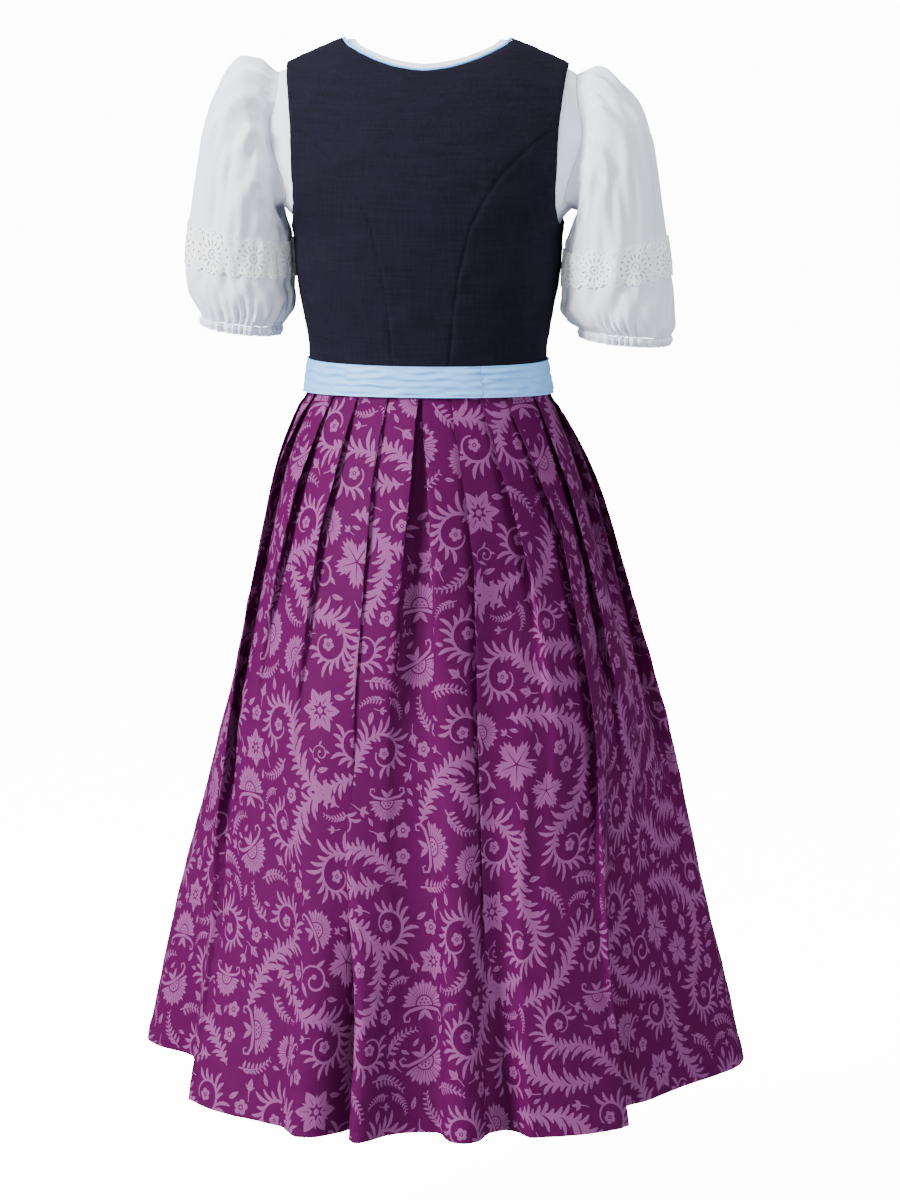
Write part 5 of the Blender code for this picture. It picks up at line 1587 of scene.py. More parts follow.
@dataclass
class PrintRepeat:
    """The print's repeat, in metres of flat cloth, each column of it dropped by half."""

    width: float = 0.300
    height: float = 0.400
    cell: float = 0.00125
    seed: int = 21
    placed: list[list[Shape]] = field(init=False, default_factory=list)
    taken: Array = field(init=False)

    def __post_init__(self) -> None:
        """Lays the charted ornaments, then fills the ground between them."""
        artist = Draughtsman()
        self.taken = np.zeros((round(self.width / self.cell), round(self.height / self.cell)), bool)
        for row in CHART:
            drawn = artist.draw(row.ornament)
            x, y, turn = row.x / 1000, row.y / 1000, math.radians(row.turn)
            self.put(drawn, self.covered(drawn), x, y, turn, row.size, row.flipped, True)
        rng = np.random.default_rng(self.seed)
        for filler in FILLERS:
            drawn = artist.draw(filler.ornament)
            covered = self.covered(drawn)
            for _ in range(filler.tries):
                x, y, turn = rng.uniform(0, self.width), rng.uniform(0, self.height), rng.uniform(0, math.tau)
                self.put(drawn, covered, x, y, turn, filler.size, int(rng.integers(2)))

    def covered(self, shapes: list[Shape]) -> Array:
        """Points close together over all that an ornament covers."""
        found = []
        for points, ink in shapes:
            if not ink:
                continue
            found.append(spaced(points, self.cell))
            low, high = points.min(axis=0), points.max(axis=0)
            axes = [np.arange(low[k], high[k], self.cell) for k in range(2)]
            grid = np.stack(np.meshgrid(*axes), axis=-1).reshape(-1, 2)
            found.append(grid[inside(grid, points)])
        return np.unique(np.vstack(found).round(5), axis=0)

    def cells(self, points: Array) -> tuple[Array, Array]:
        """The cells of the repeat that points fall in."""
        column = np.floor(points[:, 0] / self.width)
        y = points[:, 1] - np.where(column % 2 != 0, self.height / 2, 0.0)
        i = ((points[:, 0] - column * self.width) / self.cell).astype(int)
        j = (y % self.height / self.cell).astype(int)
        return i % self.taken.shape[0], j % self.taken.shape[1]

    def put(
        self, shapes: list[Shape], covered: Array, x: float, y: float, turn: float, size: float, flipped: int,
        always: bool = False,
    ) -> None:
        """Adds an ornament unless it would touch another.

        Args:
            shapes: its outlines about the origin.
            covered: points over all it covers.
            x: where it goes across the repeat.
            y: where it goes down it.
            turn: its turn, in radians.
            size: its scale.
            flipped: 1 to mirror it first.
            always: whether it is added even where it touches.
        """
        flip = np.array([1.0, -1.0 if flipped else 1.0])
        laid = turned(covered * flip, turn, x, y, size)
        i, j = self.cells(laid)
        if self.taken[i, j].any() and not always:
            return
        for di in (-1, 0, 1):
            for dj in (-1, 0, 1):
                self.taken[(i + di) % self.taken.shape[0], (j + dj) % self.taken.shape[1]] = True
        self.placed.append([(turned(points * flip, turn, x, y, size), ink) for points, ink in shapes])

    def cut(self, grid: Array, low: float, high: float) -> tuple[Array, Array, Array]:
        """Cuts flat cloth into triangles along the print.

        Args:
            grid: places (u, v) that the triangles' corners include, v as a share.
            low: the panel's first u.
            high: its last u.

        Returns:
            The corners, the triangles, and for each triangle 1 where it is printed.
        """
        scale = np.array([1.0, SKIRT_LENGTH])
        outline = np.array([(low, 0.0), (high, 0.0), (high, SKIRT_LENGTH), (low, SKIRT_LENGTH)])
        shapes: list[Shape] = []
        first, last = int(low // self.width) - 1, int(high // self.width) + 2
        for i in range(first, last):
            for j in range(-2, 3):
                shift = np.array([i * self.width, j * self.height + (self.height / 2 if i % 2 else 0.0)])
                for placed in self.placed:
                    for points, ink in placed:
                        moved = points + shift
                        if (moved.min(axis=0) < outline[2]).all() and (moved.max(axis=0) > outline[0]).all():
                            shapes.append((moved, ink))
        places, faces, inks = cut_along(grid * scale, outline, shapes)
        LOG.info("print: %d triangles, %.0f%% printed", len(faces), 100 * inks.mean())
        return places / scale, faces, inks


# Sewn panels of the bodice and the blouse

def eased(path: Path, spans: int) -> list[Spot]:
    """An open path as a smooth one through the same places."""
    p = np.array(path, float)
    before = np.vstack([2 * p[0] - p[1], p[:-1]])
    after = np.vstack([p[1:], 2 * p[-1] - p[-2]])
    slope = (after - before) / 2
    shares = np.arange(spans)[:, None] / spans
    parts = [hermite(shares, p[i], slope[i], p[i + 1], slope[i + 1]) for i in range(len(p) - 1)]
    return [tuple(q) for q in np.vstack(parts + [p[-1:]])]


@dataclass
class CutPanel:
    """A piece of cloth cut to an outline of the torso's flat domain and sewn along its edges."""

    node: str
    outline: Path
    off: float
    wall: float
    finish: WovenCloth
    rests_on: Sequence[str]
    spacing: float = 0.0058
    groove: float = 0.00045
    seed: int = 1

    def places(self, outline: Array) -> Array:
        """Places inside the outline, closer together beside its edge."""
        low, high = outline.min(axis=0), outline.max(axis=0)
        found = []
        for k, v in enumerate(np.arange(low[1] + self.spacing / 2, high[1], self.spacing * 0.87)):
            u = np.arange(low[0] + (self.spacing / 2 if k % 2 else 0.0), high[0], self.spacing)
            found.append(np.stack([u, np.full(len(u), v)], axis=1))
        grid = np.vstack(found)
        grid = grid[inside(grid, outline)]
        grid = grid[from_outline(grid, outline) > 0.0062]
        rings = []
        for away in (0.0012, 0.0028, 0.0048):
            ring = np.array(inset(outline, away))
            ring = ring[inside(ring, outline)]
            rings.append(ring[from_outline(ring, outline) > away * 0.9])
        return np.vstack([grid] + rings)

    def relief(self, places: Array, outline: Array) -> Array:
        """How far the cloth stands out: a groove at its seams, puckers beside them and soft creases."""
        away = from_outline(places, outline)
        seam = -self.groove * np.exp(-((away / 0.0018) ** 2)) + 0.00035 * bump(away, 0.0045, 0.0024)
        u, v = places[:, 0], places[:, 1]
        puckers = 0.00028 * wander(u, v, 0.013, self.seed) * np.exp(-((away / 0.010) ** 2))
        slack = 0.00050 * wander(u * 0.8, v * 1.5, 0.050, self.seed + 50) * smooth(away / 0.010)
        waist = 0.00070 * wander(u * 0.5, v * 2.2, 0.022, self.seed + 90)
        waist = waist * bump(np.abs(v), TORSO_SHAPE.length - 0.035, 0.045) * smooth(away / 0.006)
        return seam + puckers + slack + waist

    def build(self) -> None:
        outline = spaced(inset(self.outline, 0.00004), 0.0042)
        places, faces, _ = cut_along(self.places(outline), outline, [])
        off = self.off + self.relief(places, outline)
        outer, inner = TORSO_SHAPE.at_domain(places, off), TORSO_SHAPE.at_domain(places, off - self.wall)
        piece = Piece(
            f"sewn_{self.node}", outer, inner, faces, (self.finish,), self.finish.name, self.node
        ).build()
        u = np.linspace(outline[:, 0].min(), outline[:, 0].max(), 40)
        v = np.linspace(outline[:, 1].min(), outline[:, 1].max(), 40)
        across = TORSO_SHAPE.at_domain(np.stack(np.meshgrid(u, v), axis=-1), 0.0)
        declare(piece, across, area_of(outer, faces), self.rests_on)


@dataclass
class Necklines:
    """The neckline as a closed smooth loop of domain places."""

    spans: int = 6

    def half(self, side: int) -> list[Spot]:
        """The right half's own places, from the centre to the ridge."""
        return TORSO_SHAPE.locate(BACK_NECK if side > 0 else FRONT_NECK[::-1], side)

    def loop(self) -> list[Spot]:
        """The whole loop, from the centre back by the right."""
        right = self.half(1) + [TORSO_SHAPE.ridge(NECK_POINT)] + self.half(-1)[::-1]
        return rounded(right + mirrored(right[1:-1][::-1]), self.spans)

    def quarter(self, side: int, away: float = 0.0) -> list[Spot]:
        """The right neckline of the back or the front, from its centre to the ridge."""
        loop = inset(self.loop(), -away) if away else self.loop()
        at_ridge = len(BACK_NECK) * self.spans
        at_front = at_ridge + len(FRONT_NECK) * self.spans
        part = loop[:at_ridge + 1] if side > 0 else loop[at_ridge:at_front + 1][::-1]
        part[0] = (0.0, part[0][1])
        part[-1] = (part[-1][0], 0.0)
        return part


BODICE_ARMHOLE = [Place(*row) for row in (
    (0.1480, -0.0080), (0.1460, -0.0220), (0.1432, -0.0440), (0.1408, -0.0683), (0.1395, -0.1000),
    (0.1380, -0.1300), (0.1384, -0.1520), (0.1412, -0.1690),
)]
BACK_PRINCESS = [Place(*row) for row in (
    (0.1225, -0.0772), (0.1050, -0.0920), (0.0840, -0.1133), (0.0640, -0.1423), (0.0467, -0.1873),
    (0.0395, -0.2195), (0.0343, -0.2563), (0.0312, -0.2943),
)]
FRONT_PRINCESS = [Place(*row) for row in (
    (0.1240, -0.0900), (0.1060, -0.1080), (0.0930, -0.1350), (0.0860, -0.1700), (0.0790, -0.2100),
    (0.0690, -0.2500), (0.0600, -0.3000),
)]
BLOUSE_ARMHOLE = [Place(*row) for row in (
    (0.1600, -0.0180), (0.1604, -0.0320), (0.1640, -0.0500), (0.1680, -0.0690), (0.1655, -0.0920),
    (0.1590, -0.1120), (0.1530, -0.1320), (0.1525, -0.1500),
)]


def armhole(tip: float, places: Sequence[Place], underarm: float, side: int) -> list[Spot]:
    """A right armhole from the ridge to the side seam, four spans to each place."""
    path = TORSO_SHAPE.locate(places, side)
    return eased([TORSO_SHAPE.ridge(tip)] + path + [TORSO_SHAPE.side_place(underarm, side)], 4)


@dataclass
class Bodice:
    """The navy bodice: a back in one with two side pieces, and a front that opens at its middle."""

    tip: float = 0.1490
    underarm: float = -0.1800
    princess_head: int = 3
    back_foot: float = 0.0285
    front_foot: float = 0.0570
    lift: float = 0.0
    seed: int = 3
    neck: Necklines = field(default_factory=Necklines)

    def foot(self, side: int) -> float:
        """The angle at which the princess seam meets the waist."""
        foot = self.back_foot if side > 0 else self.front_foot
        return math.asin(foot / float(TORSO_SHAPE.curve.at(TORSO_SHAPE.length - 0.03, "half_width")))

    def hole(self, side: int) -> list[Spot]:
        """The bodice's right armhole."""
        return armhole(self.tip, BODICE_ARMHOLE, self.underarm, side)

    def princess(self, side: int) -> list[Spot]:
        """The princess seam from the armhole to the waist, both ends included."""
        head = self.hole(side)[4 * (self.princess_head + 1)]
        rows = TORSO_SHAPE.locate(BACK_PRINCESS if side > 0 else FRONT_PRINCESS, side)
        foot = TORSO_SHAPE.low_edge(self.foot(side), 0.0, side, WAIST_SEAM, 2)[0]
        return eased([head] + rows + [foot], 4)

    def centre(self, side: int) -> list[Spot]:
        """Outline of the right half of the centre panel, from the centre line round to it."""
        neck = self.neck.quarter(side)
        hole = self.hole(side)[:4 * (self.princess_head + 1)]
        shoulder = between(neck[-1], hole[0], 10)
        low = TORSO_SHAPE.low_edge(self.foot(side), 0.0, side, WAIST_SEAM, 8)[1:]
        return neck + shoulder + hole + self.princess(side) + low

    def beside(self, side: int) -> list[Spot]:
        """Outline of the right side panel, between the princess seam and the side seam."""
        hole = self.hole(side)[4 * (self.princess_head + 1):]
        low = TORSO_SHAPE.low_edge(math.pi / 2, self.foot(side), side, WAIST_SEAM, 20)
        seam = between(hole[-1], low[0], 20)
        return hole + seam + low + self.princess(side)[1:-1][::-1]

    def build(self) -> None:
        """Makes the seven panels."""
        back = self.centre(1)
        outline = back + mirrored(back[1:-1][::-1])
        under = ("sewn_blouse_back", "sewn_blouse_front")
        self.panel("bodice_back_centre", outline, under[:1])
        front = self.centre(-1)
        closing = front + between(front[-1], front[0], 30)
        self.panel("bodice_front_right", closing, under[1:])
        self.panel("bodice_front_left", mirrored(closing), under[1:])
        for side, word in ((1, "back"), (-1, "front")):
            outline = self.beside(side)
            self.panel(f"bodice_{word}_side_right", outline, under)
            self.panel(f"bodice_{word}_side_left", mirrored(outline), under)

    def panel(self, node: str, outline: Path, under: Sequence[str]) -> None:
        """Makes one panel of the bodice."""
        CutPanel(node, outline, self.lift, LINEN, NAVY_LINEN, under, seed=self.seed).build()


@dataclass
class NeckTrim:
    """The piping round the bodice's neck, and the blouse's narrow band inside it."""

    radius: float = 0.0014
    sides: int = 10
    gap: float = 0.00035
    band_outer: float = -0.0036
    band_inner: float = -0.0062
    band_low: float = -0.0008
    band_high: float = 0.0112
    neck: Necklines = field(default_factory=Necklines)

    def build(self) -> None:
        """Makes both trims."""
        loop = self.neck.loop()
        rows = []
        for k in range(self.sides):
            angle = math.tau * k / self.sides
            ring = np.array(inset(loop, self.radius + self.gap + self.radius * math.cos(angle)))
            rows.append(TORSO_SHAPE.at_domain(ring, -LINEN / 2 + self.radius * math.sin(angle)))
        faces = ring_faces(self.sides, len(loop))
        make_body("piping_of_neck", np.vstack(rows), faces, BLUE_SATIN, "neck_piping")
        levels = np.linspace(self.band_low, self.band_high, 11)
        rings = [np.array(inset(loop, level)) for level in levels]
        fold = 0.0005 * np.sin(math.pi * np.linspace(0, 1, 11)) ** 2
        band = [
            (TORSO_SHAPE.at_domain(ring, self.band_outer + h), TORSO_SHAPE.at_domain(ring, self.band_inner))
            for ring, h in zip(rings, fold)
        ]
        sew("band_of_neck", "blouse_neckband", band, WHITE_COTTON, ("sewn_blouse_back",), True)


@dataclass
class BlouseBody:
    """The blouse under the bodice, a back and a front."""

    tip: float = 0.1600
    underarm: float = -0.1620
    length: float = -0.2400
    neck_away: float = 0.0014
    neck: Necklines = field(default_factory=Necklines)

    def hole(self, side: int) -> list[Spot]:
        """The blouse's right armhole."""
        return armhole(self.tip, BLOUSE_ARMHOLE, self.underarm, side)

    def ring(self) -> Array:
        """The right armhole as closed ring of points, from the ridge down the back and up the front."""
        path = self.hole(1) + self.hole(-1)[1:-1][::-1]
        return TORSO_SHAPE.at_domain(np.array(path), BLOUSE_UNDER - COTTON / 2)

    def build(self) -> None:
        """Makes the two panels."""
        for side, node in ((1, "blouse_back"), (-1, "blouse_front")):
            neck = self.neck.quarter(side, self.neck_away)
            hole = self.hole(side)
            shoulder = between(neck[-1], hole[0], 10)
            low = TORSO_SHAPE.low_edge(math.pi / 2, 0.0, side, self.length, 24)
            half = neck + shoulder + hole + between(hole[-1], low[0], 8) + low
            outline = half + mirrored(half[1:-1][::-1])
            CutPanel(
                node, outline, BLOUSE_UNDER, COTTON, WHITE_COTTON, ("band_of_neck",), 0.0065, 0.0003,
                30 + side,
            ).build()


# Sleeves

class Ring(NamedTuple):
    """A sleeve ring: its outer and inner point, half its depth, and how far the gathers stand."""

    out_x: float
    out_z: float
    in_x: float
    in_z: float
    depth: float
    gather: float


SLEEVE_LEFT = [Ring(*row) for row in (
    (0.1600, -0.0090, 0.1520, -0.1620, 0.034, 0.0000), (0.1760, 0.0000, 0.1540, -0.1660, 0.050, 0.0026),
    (0.1960, -0.0040, 0.1530, -0.1705, 0.058, 0.0022), (0.2150, -0.0230, 0.1518, -0.1750, 0.061, 0.0012),
    (0.2300, -0.0500, 0.1500, -0.1795, 0.062, 0.0006), (0.2430, -0.0950, 0.1472, -0.1845, 0.063, 0.0003),
    (0.2540, -0.1700, 0.1462, -0.1916, 0.062, 0.0002), (0.2585, -0.2190, 0.1435, -0.2322, 0.060, 0.0004),
    (0.2555, -0.2420, 0.1425, -0.2500, 0.057, 0.0012), (0.2480, -0.2610, 0.1470, -0.2680, 0.051, 0.0026),
    (0.2410, -0.2730, 0.1580, -0.2830, 0.043, 0.0018),
)]
SLEEVE_RIGHT = [Ring(*row) for row in (
    (0.1600, -0.0090, 0.1520, -0.1620, 0.034, 0.0000), (0.1750, -0.0095, 0.1540, -0.1660, 0.050, 0.0024),
    (0.1900, -0.0180, 0.1530, -0.1715, 0.058, 0.0020), (0.2090, -0.0345, 0.1518, -0.1775, 0.061, 0.0012),
    (0.2260, -0.0560, 0.1500, -0.1835, 0.062, 0.0006), (0.2390, -0.0900, 0.1472, -0.1905, 0.063, 0.0003),
    (0.2525, -0.1830, 0.1460, -0.1991, 0.062, 0.0002), (0.2580, -0.2279, 0.1430, -0.2386, 0.060, 0.0004),
    (0.2608, -0.2560, 0.1420, -0.2580, 0.058, 0.0012), (0.2600, -0.2780, 0.1485, -0.2720, 0.053, 0.0026),
    (0.2570, -0.2900, 0.1630, -0.2820, 0.046, 0.0018),
)]


@dataclass
class Sleeve:
    """A puffed sleeve gathered into the armhole and into a casing, with a lace band round it."""

    word: str
    rings: Sequence[Ring]
    mirror: bool
    armhole: Array
    rows: int = 86
    columns: int = 168
    head_step: float = 0.016
    seam_gap: float = 0.0006
    grid: Array = field(init=False)
    normals: Array = field(init=False)

    def __post_init__(self) -> None:
        """Works out the cloth's surface, on the wearer's right."""
        self.place = np.linspace(0.0, 1.0, self.rows) ** 1.15 * (len(self.rings) - 1)
        turn = np.linspace(0, math.tau, self.columns, endpoint=False)
        curve = Curve(self.rings, range(len(self.rings)))
        seam = self.even_ring()
        blend = np.interp(self.place, [0, 1, 2, 3], [1.0, 0.40, 0.15, 0.0])
        rows = []
        for p, share in zip(self.place, blend):
            out_x, out_z, in_x, in_z, depth = (
                float(curve.at(p, name)) for name in ("out_x", "out_z", "in_x", "in_z", "depth")
            )
            wide = 1 + self.gathers(turn, p) / 0.055
            ring = np.stack([
                (out_x + in_x) / 2 + (out_x - in_x) / 2 * np.cos(turn) * wide, -depth * np.sin(turn) * wide,
                (out_z + in_z) / 2 + (out_z - in_z) / 2 * np.cos(turn) * wide,
            ], axis=1)
            beside = seam + np.array([self.head_step * p, 0.0, 0.0])
            rows.append(mix(ring, beside, share))
        rows[0] = seam + unit(rows[1] - seam) * self.seam_gap
        self.grid = np.stack(rows)
        self.normals = grid_normals(self.grid, self.grid.mean(axis=(0, 1)), True)

    def even_ring(self) -> Array:
        """The armhole's ring at even shares of the way down its back and up its front."""
        half = len(self.armhole) // 2
        closed = np.vstack([self.armhole, self.armhole[:1]])
        parts = []
        for part in (closed[:half + 1], closed[half:]):
            lengths = running_lengths(part)
            wanted = np.linspace(0, lengths[-1], self.columns // 2, endpoint=False)
            parts.append(np.stack([np.interp(wanted, lengths, part[:, k]) for k in range(3)], axis=1))
        return np.vstack(parts)

    def gathers(self, turn: Array, p: float) -> Array:
        """How far the cloth stands out at a place p of the rings, from its gathers and creases."""
        crown = 0.30 + 0.70 * smooth(np.cos(turn) + 0.9)
        seed = 3 if self.mirror else 8
        drift = 0.55 * np.sin(3 * turn + seed) + 0.10 * p * np.sin(5 * turn + 1.3 * seed)
        head = np.cos(27 * turn + drift * 2.2) + 0.35 * np.cos(54 * turn + drift * 4.4 + 0.8)
        head = head * 0.0024 * bump(p, 0.85, 1.25) * crown
        long = np.cos(13 * turn + drift * 1.6 + 0.25 * p) * 0.0030 * bump(p, 2.0, 1.9) * crown
        slack = np.cos(6 * turn + drift + 0.5 * p) * 0.0020 * bump(p, 4.6, 2.4)
        low = (np.cos(34 * turn + drift * 2.5) + 0.4 * np.cos(17 * turn - drift)) * 0.0021
        low = low * smooth((p - 7.6) / 1.6)
        uneven = wander(turn * 0.22, np.full(len(turn), p * 0.035), 0.055, seed + 20) * 0.0011
        return (head + long + low + slack + uneven * smooth(p / 2)) * smooth(p / 0.30)

    def side(self, points: Array) -> Array:
        """The points on this sleeve's own side."""
        return points * np.array([-1.0, 1.0, 1.0]) if self.mirror else points

    def at(self, turn: Array, p: Array) -> tuple[Array, Array]:
        """Surface points and normals at turns and places of the rings."""
        r = np.interp(p, self.place, np.arange(self.rows))
        c = (turn / math.tau % 1.0) * self.columns
        i, j = np.minimum(r.astype(int), self.rows - 2), c.astype(int) % self.columns
        k = (j + 1) % self.columns
        f, g = (r - i)[:, None], (c - np.floor(c))[:, None]
        return between_points((self.grid, self.normals), i, j, k, f, g)

    def build(self) -> None:
        """Makes the sleeve, its casing and its lace."""
        outer = self.side(self.grid + self.normals * COTTON / 2)
        inner = self.side(self.grid - self.normals * COTTON / 2)
        sew(
            f"puffed_sleeve_{self.word}", f"sleeve_{self.word}", list(zip(outer, inner)), WHITE_COTTON,
            ("sewn_blouse_back",), True,
        )
        Cuff(self).build()
        LaceBand(self).build()


@dataclass
class Cuff:
    """The gathered elastic casing at a sleeve's end."""

    sleeve: Sleeve
    height: float = 0.0100
    wall: float = 0.0016
    waves: int = 46
    rows: int = 16

    def build(self) -> None:
        """Makes the casing."""
        sleeve = self.sleeve
        edge = sleeve.grid[-1]
        count = len(edge)
        centre = edge.mean(axis=0)
        across = unit(edge[0] - edge[count // 2])
        drop = np.cross(np.array([0.0, -1.0, 0.0]), across)
        drop = drop if drop[2] < 0 else -drop
        turn = np.linspace(0, math.tau, count, endpoint=False)
        away = edge - centre
        outward = unit(away)
        rows = []
        for level in np.linspace(0.0, 1.0, self.rows):
            grow = float(np.interp(level, [0.0, 0.35, 1.0], [1.0, 1.03, 0.985]))
            wave = np.cos(self.waves * turn + 1.5 * np.sin(4 * turn)) * 0.0010 * (0.45 + 0.55 * level)
            stitched = -0.0007 * (bump(level, 0.22, 0.07) + bump(level, 0.78, 0.07))
            base = centre + away * grow + drop * (0.0006 + self.height * level)
            sides = (self.wall / 2 + wave + stitched, wave + stitched - self.wall / 2)
            rows.append([sleeve.side(base + outward * side[:, None]) for side in sides])
        word = sleeve.word
        resting = (f"puffed_sleeve_{word}",)
        sew(f"casing_{word}", f"cuff_{word}", rows, WHITE_COTTON, resting, True)


@dataclass
class LaceBand:
    """A band of openwork wheels sewn round a sleeve."""

    sleeve: Sleeve
    top: float = 5.97
    foot: float = 7.03
    width: float = 0.0500
    wheels: int = 8
    lift: float = 0.0009
    cloth: float = 0.0010

    def wheel(self, x: float, y: float, radius: float, lobes: int) -> list[Shape]:
        """A round wheel: a scalloped rim with eyelets, a ring of slits and a ringed hub."""
        middle = (x, y)
        slit = drop(radius * 0.34, radius * 0.085)
        scallops = around(lobes, radius * 0.88, middle)
        shapes = [(circle(radius * 3.0 / lobes, 8, scallop), 1) for _, scallop in scallops]
        shapes.append((circle(radius * 0.90, 2 * lobes, middle), 1))
        shapes += [(circle(radius * 0.060, 6, hole), 0) for _, hole in around(lobes, radius * 0.86, middle)]
        for angle, start in around(lobes - 2, radius * 0.36, middle, 0.5):
            shapes.append((turned(slit, angle, *start), 0))
        shapes.append((circle(radius * 0.25, 16, middle), 0))
        shapes.append((circle(radius * 0.19, 14, middle), 1))
        for angle in np.linspace(0, math.tau, 4, endpoint=False):
            spoke = np.array([(0.15, -0.02), (0.28, -0.02), (0.28, 0.02), (0.15, 0.02)]) * radius
            shapes.append((turned(spoke, angle, x, y), 1))
        shapes.append((circle(radius * 0.08, 8, middle), 0))
        return shapes

    def shapes(self, length: float) -> list[Shape]:
        """The band's shapes in flat lace: a ground with flowers, and wheels of two sizes on it."""
        step = length / self.wheels
        ground = np.array([(0.0, 0.16), (length, 0.16), (length, 0.84), (0.0, 0.84)])
        shapes: list[Shape] = [(ground * np.array([1.0, self.width]), 1)]
        for k in range(self.wheels + 1):
            for rise in (0.22, 0.50, 0.78):
                shapes += self.wheel(step * k, self.width * rise, self.width * 0.15, 10)
        for k in range(self.wheels):
            radius = self.width * (0.49 if k % 2 else 0.42)
            shapes += self.wheel(step * (k + 0.5), self.width / 2, min(radius, step * 0.46), 16)
        return shapes

    def build(self) -> None:
        """Makes the band, following the sleeve's own surface."""
        sleeve = self.sleeve
        middle = sleeve.at(np.linspace(0, math.tau, 200), np.full(200, (self.top + self.foot) / 2))[0]
        length = float(running_lengths(middle)[-1])
        grid = np.stack(np.meshgrid(
            np.arange(0.002, length, 0.0055), np.linspace(0.002, self.width - 0.002, 10)
        ), axis=-1).reshape(-1, 2)
        outline = np.array([(0.0, 0.0), (length, 0.0), (length, self.width), (0.0, self.width)])
        flat, faces, inks = cut_along(grid, outline, self.shapes(length))
        flat, faces, _ = compact(flat, faces[inks == 1], inks)
        turn = (flat[:, 0] / length - 0.5) * math.tau * 0.9995
        points, normals = sleeve.at(turn, mix(self.top, self.foot, flat[:, 1] / self.width))
        low = COTTON / 2 + self.lift
        outer, inner = sleeve.side(points + normals * (low + self.cloth)), sleeve.side(points + normals * low)
        word = sleeve.word
        piece = Piece(
            f"wheel_lace_{word}", outer, inner, faces, (WHITE_LACE,), "white_lace", f"lace_{word}"
        ).build()
        LOG.info("%s: cut %.3f x %.3f m", piece.name, length, self.width)
        area = min(max(area_of(outer, faces), 0.31 * length * self.width), length * self.width)


# Apron, its ties and the bow

class Cover(NamedTuple):
    """The apron at v: the share of the half round it covers, its stand and its waves."""

    v: float
    half_span: float
    stand: float
    wave: float


APRON = [Cover(*row) for row in (
    (0.0292, 0.345, 0.0042, 0.0006), (0.062, 0.350, 0.0094, 0.0014), (0.130, 0.355, 0.0150, 0.0024),
    (0.240, 0.358, 0.0190, 0.0036), (0.380, 0.360, 0.0215, 0.0042), (0.530, 0.361, 0.0240, 0.0048),
    (0.690, 0.363, 0.0265, 0.0052), (0.845, 0.364, 0.0290, 0.0056), (0.965, 0.365, 0.0310, 0.0060),
)]


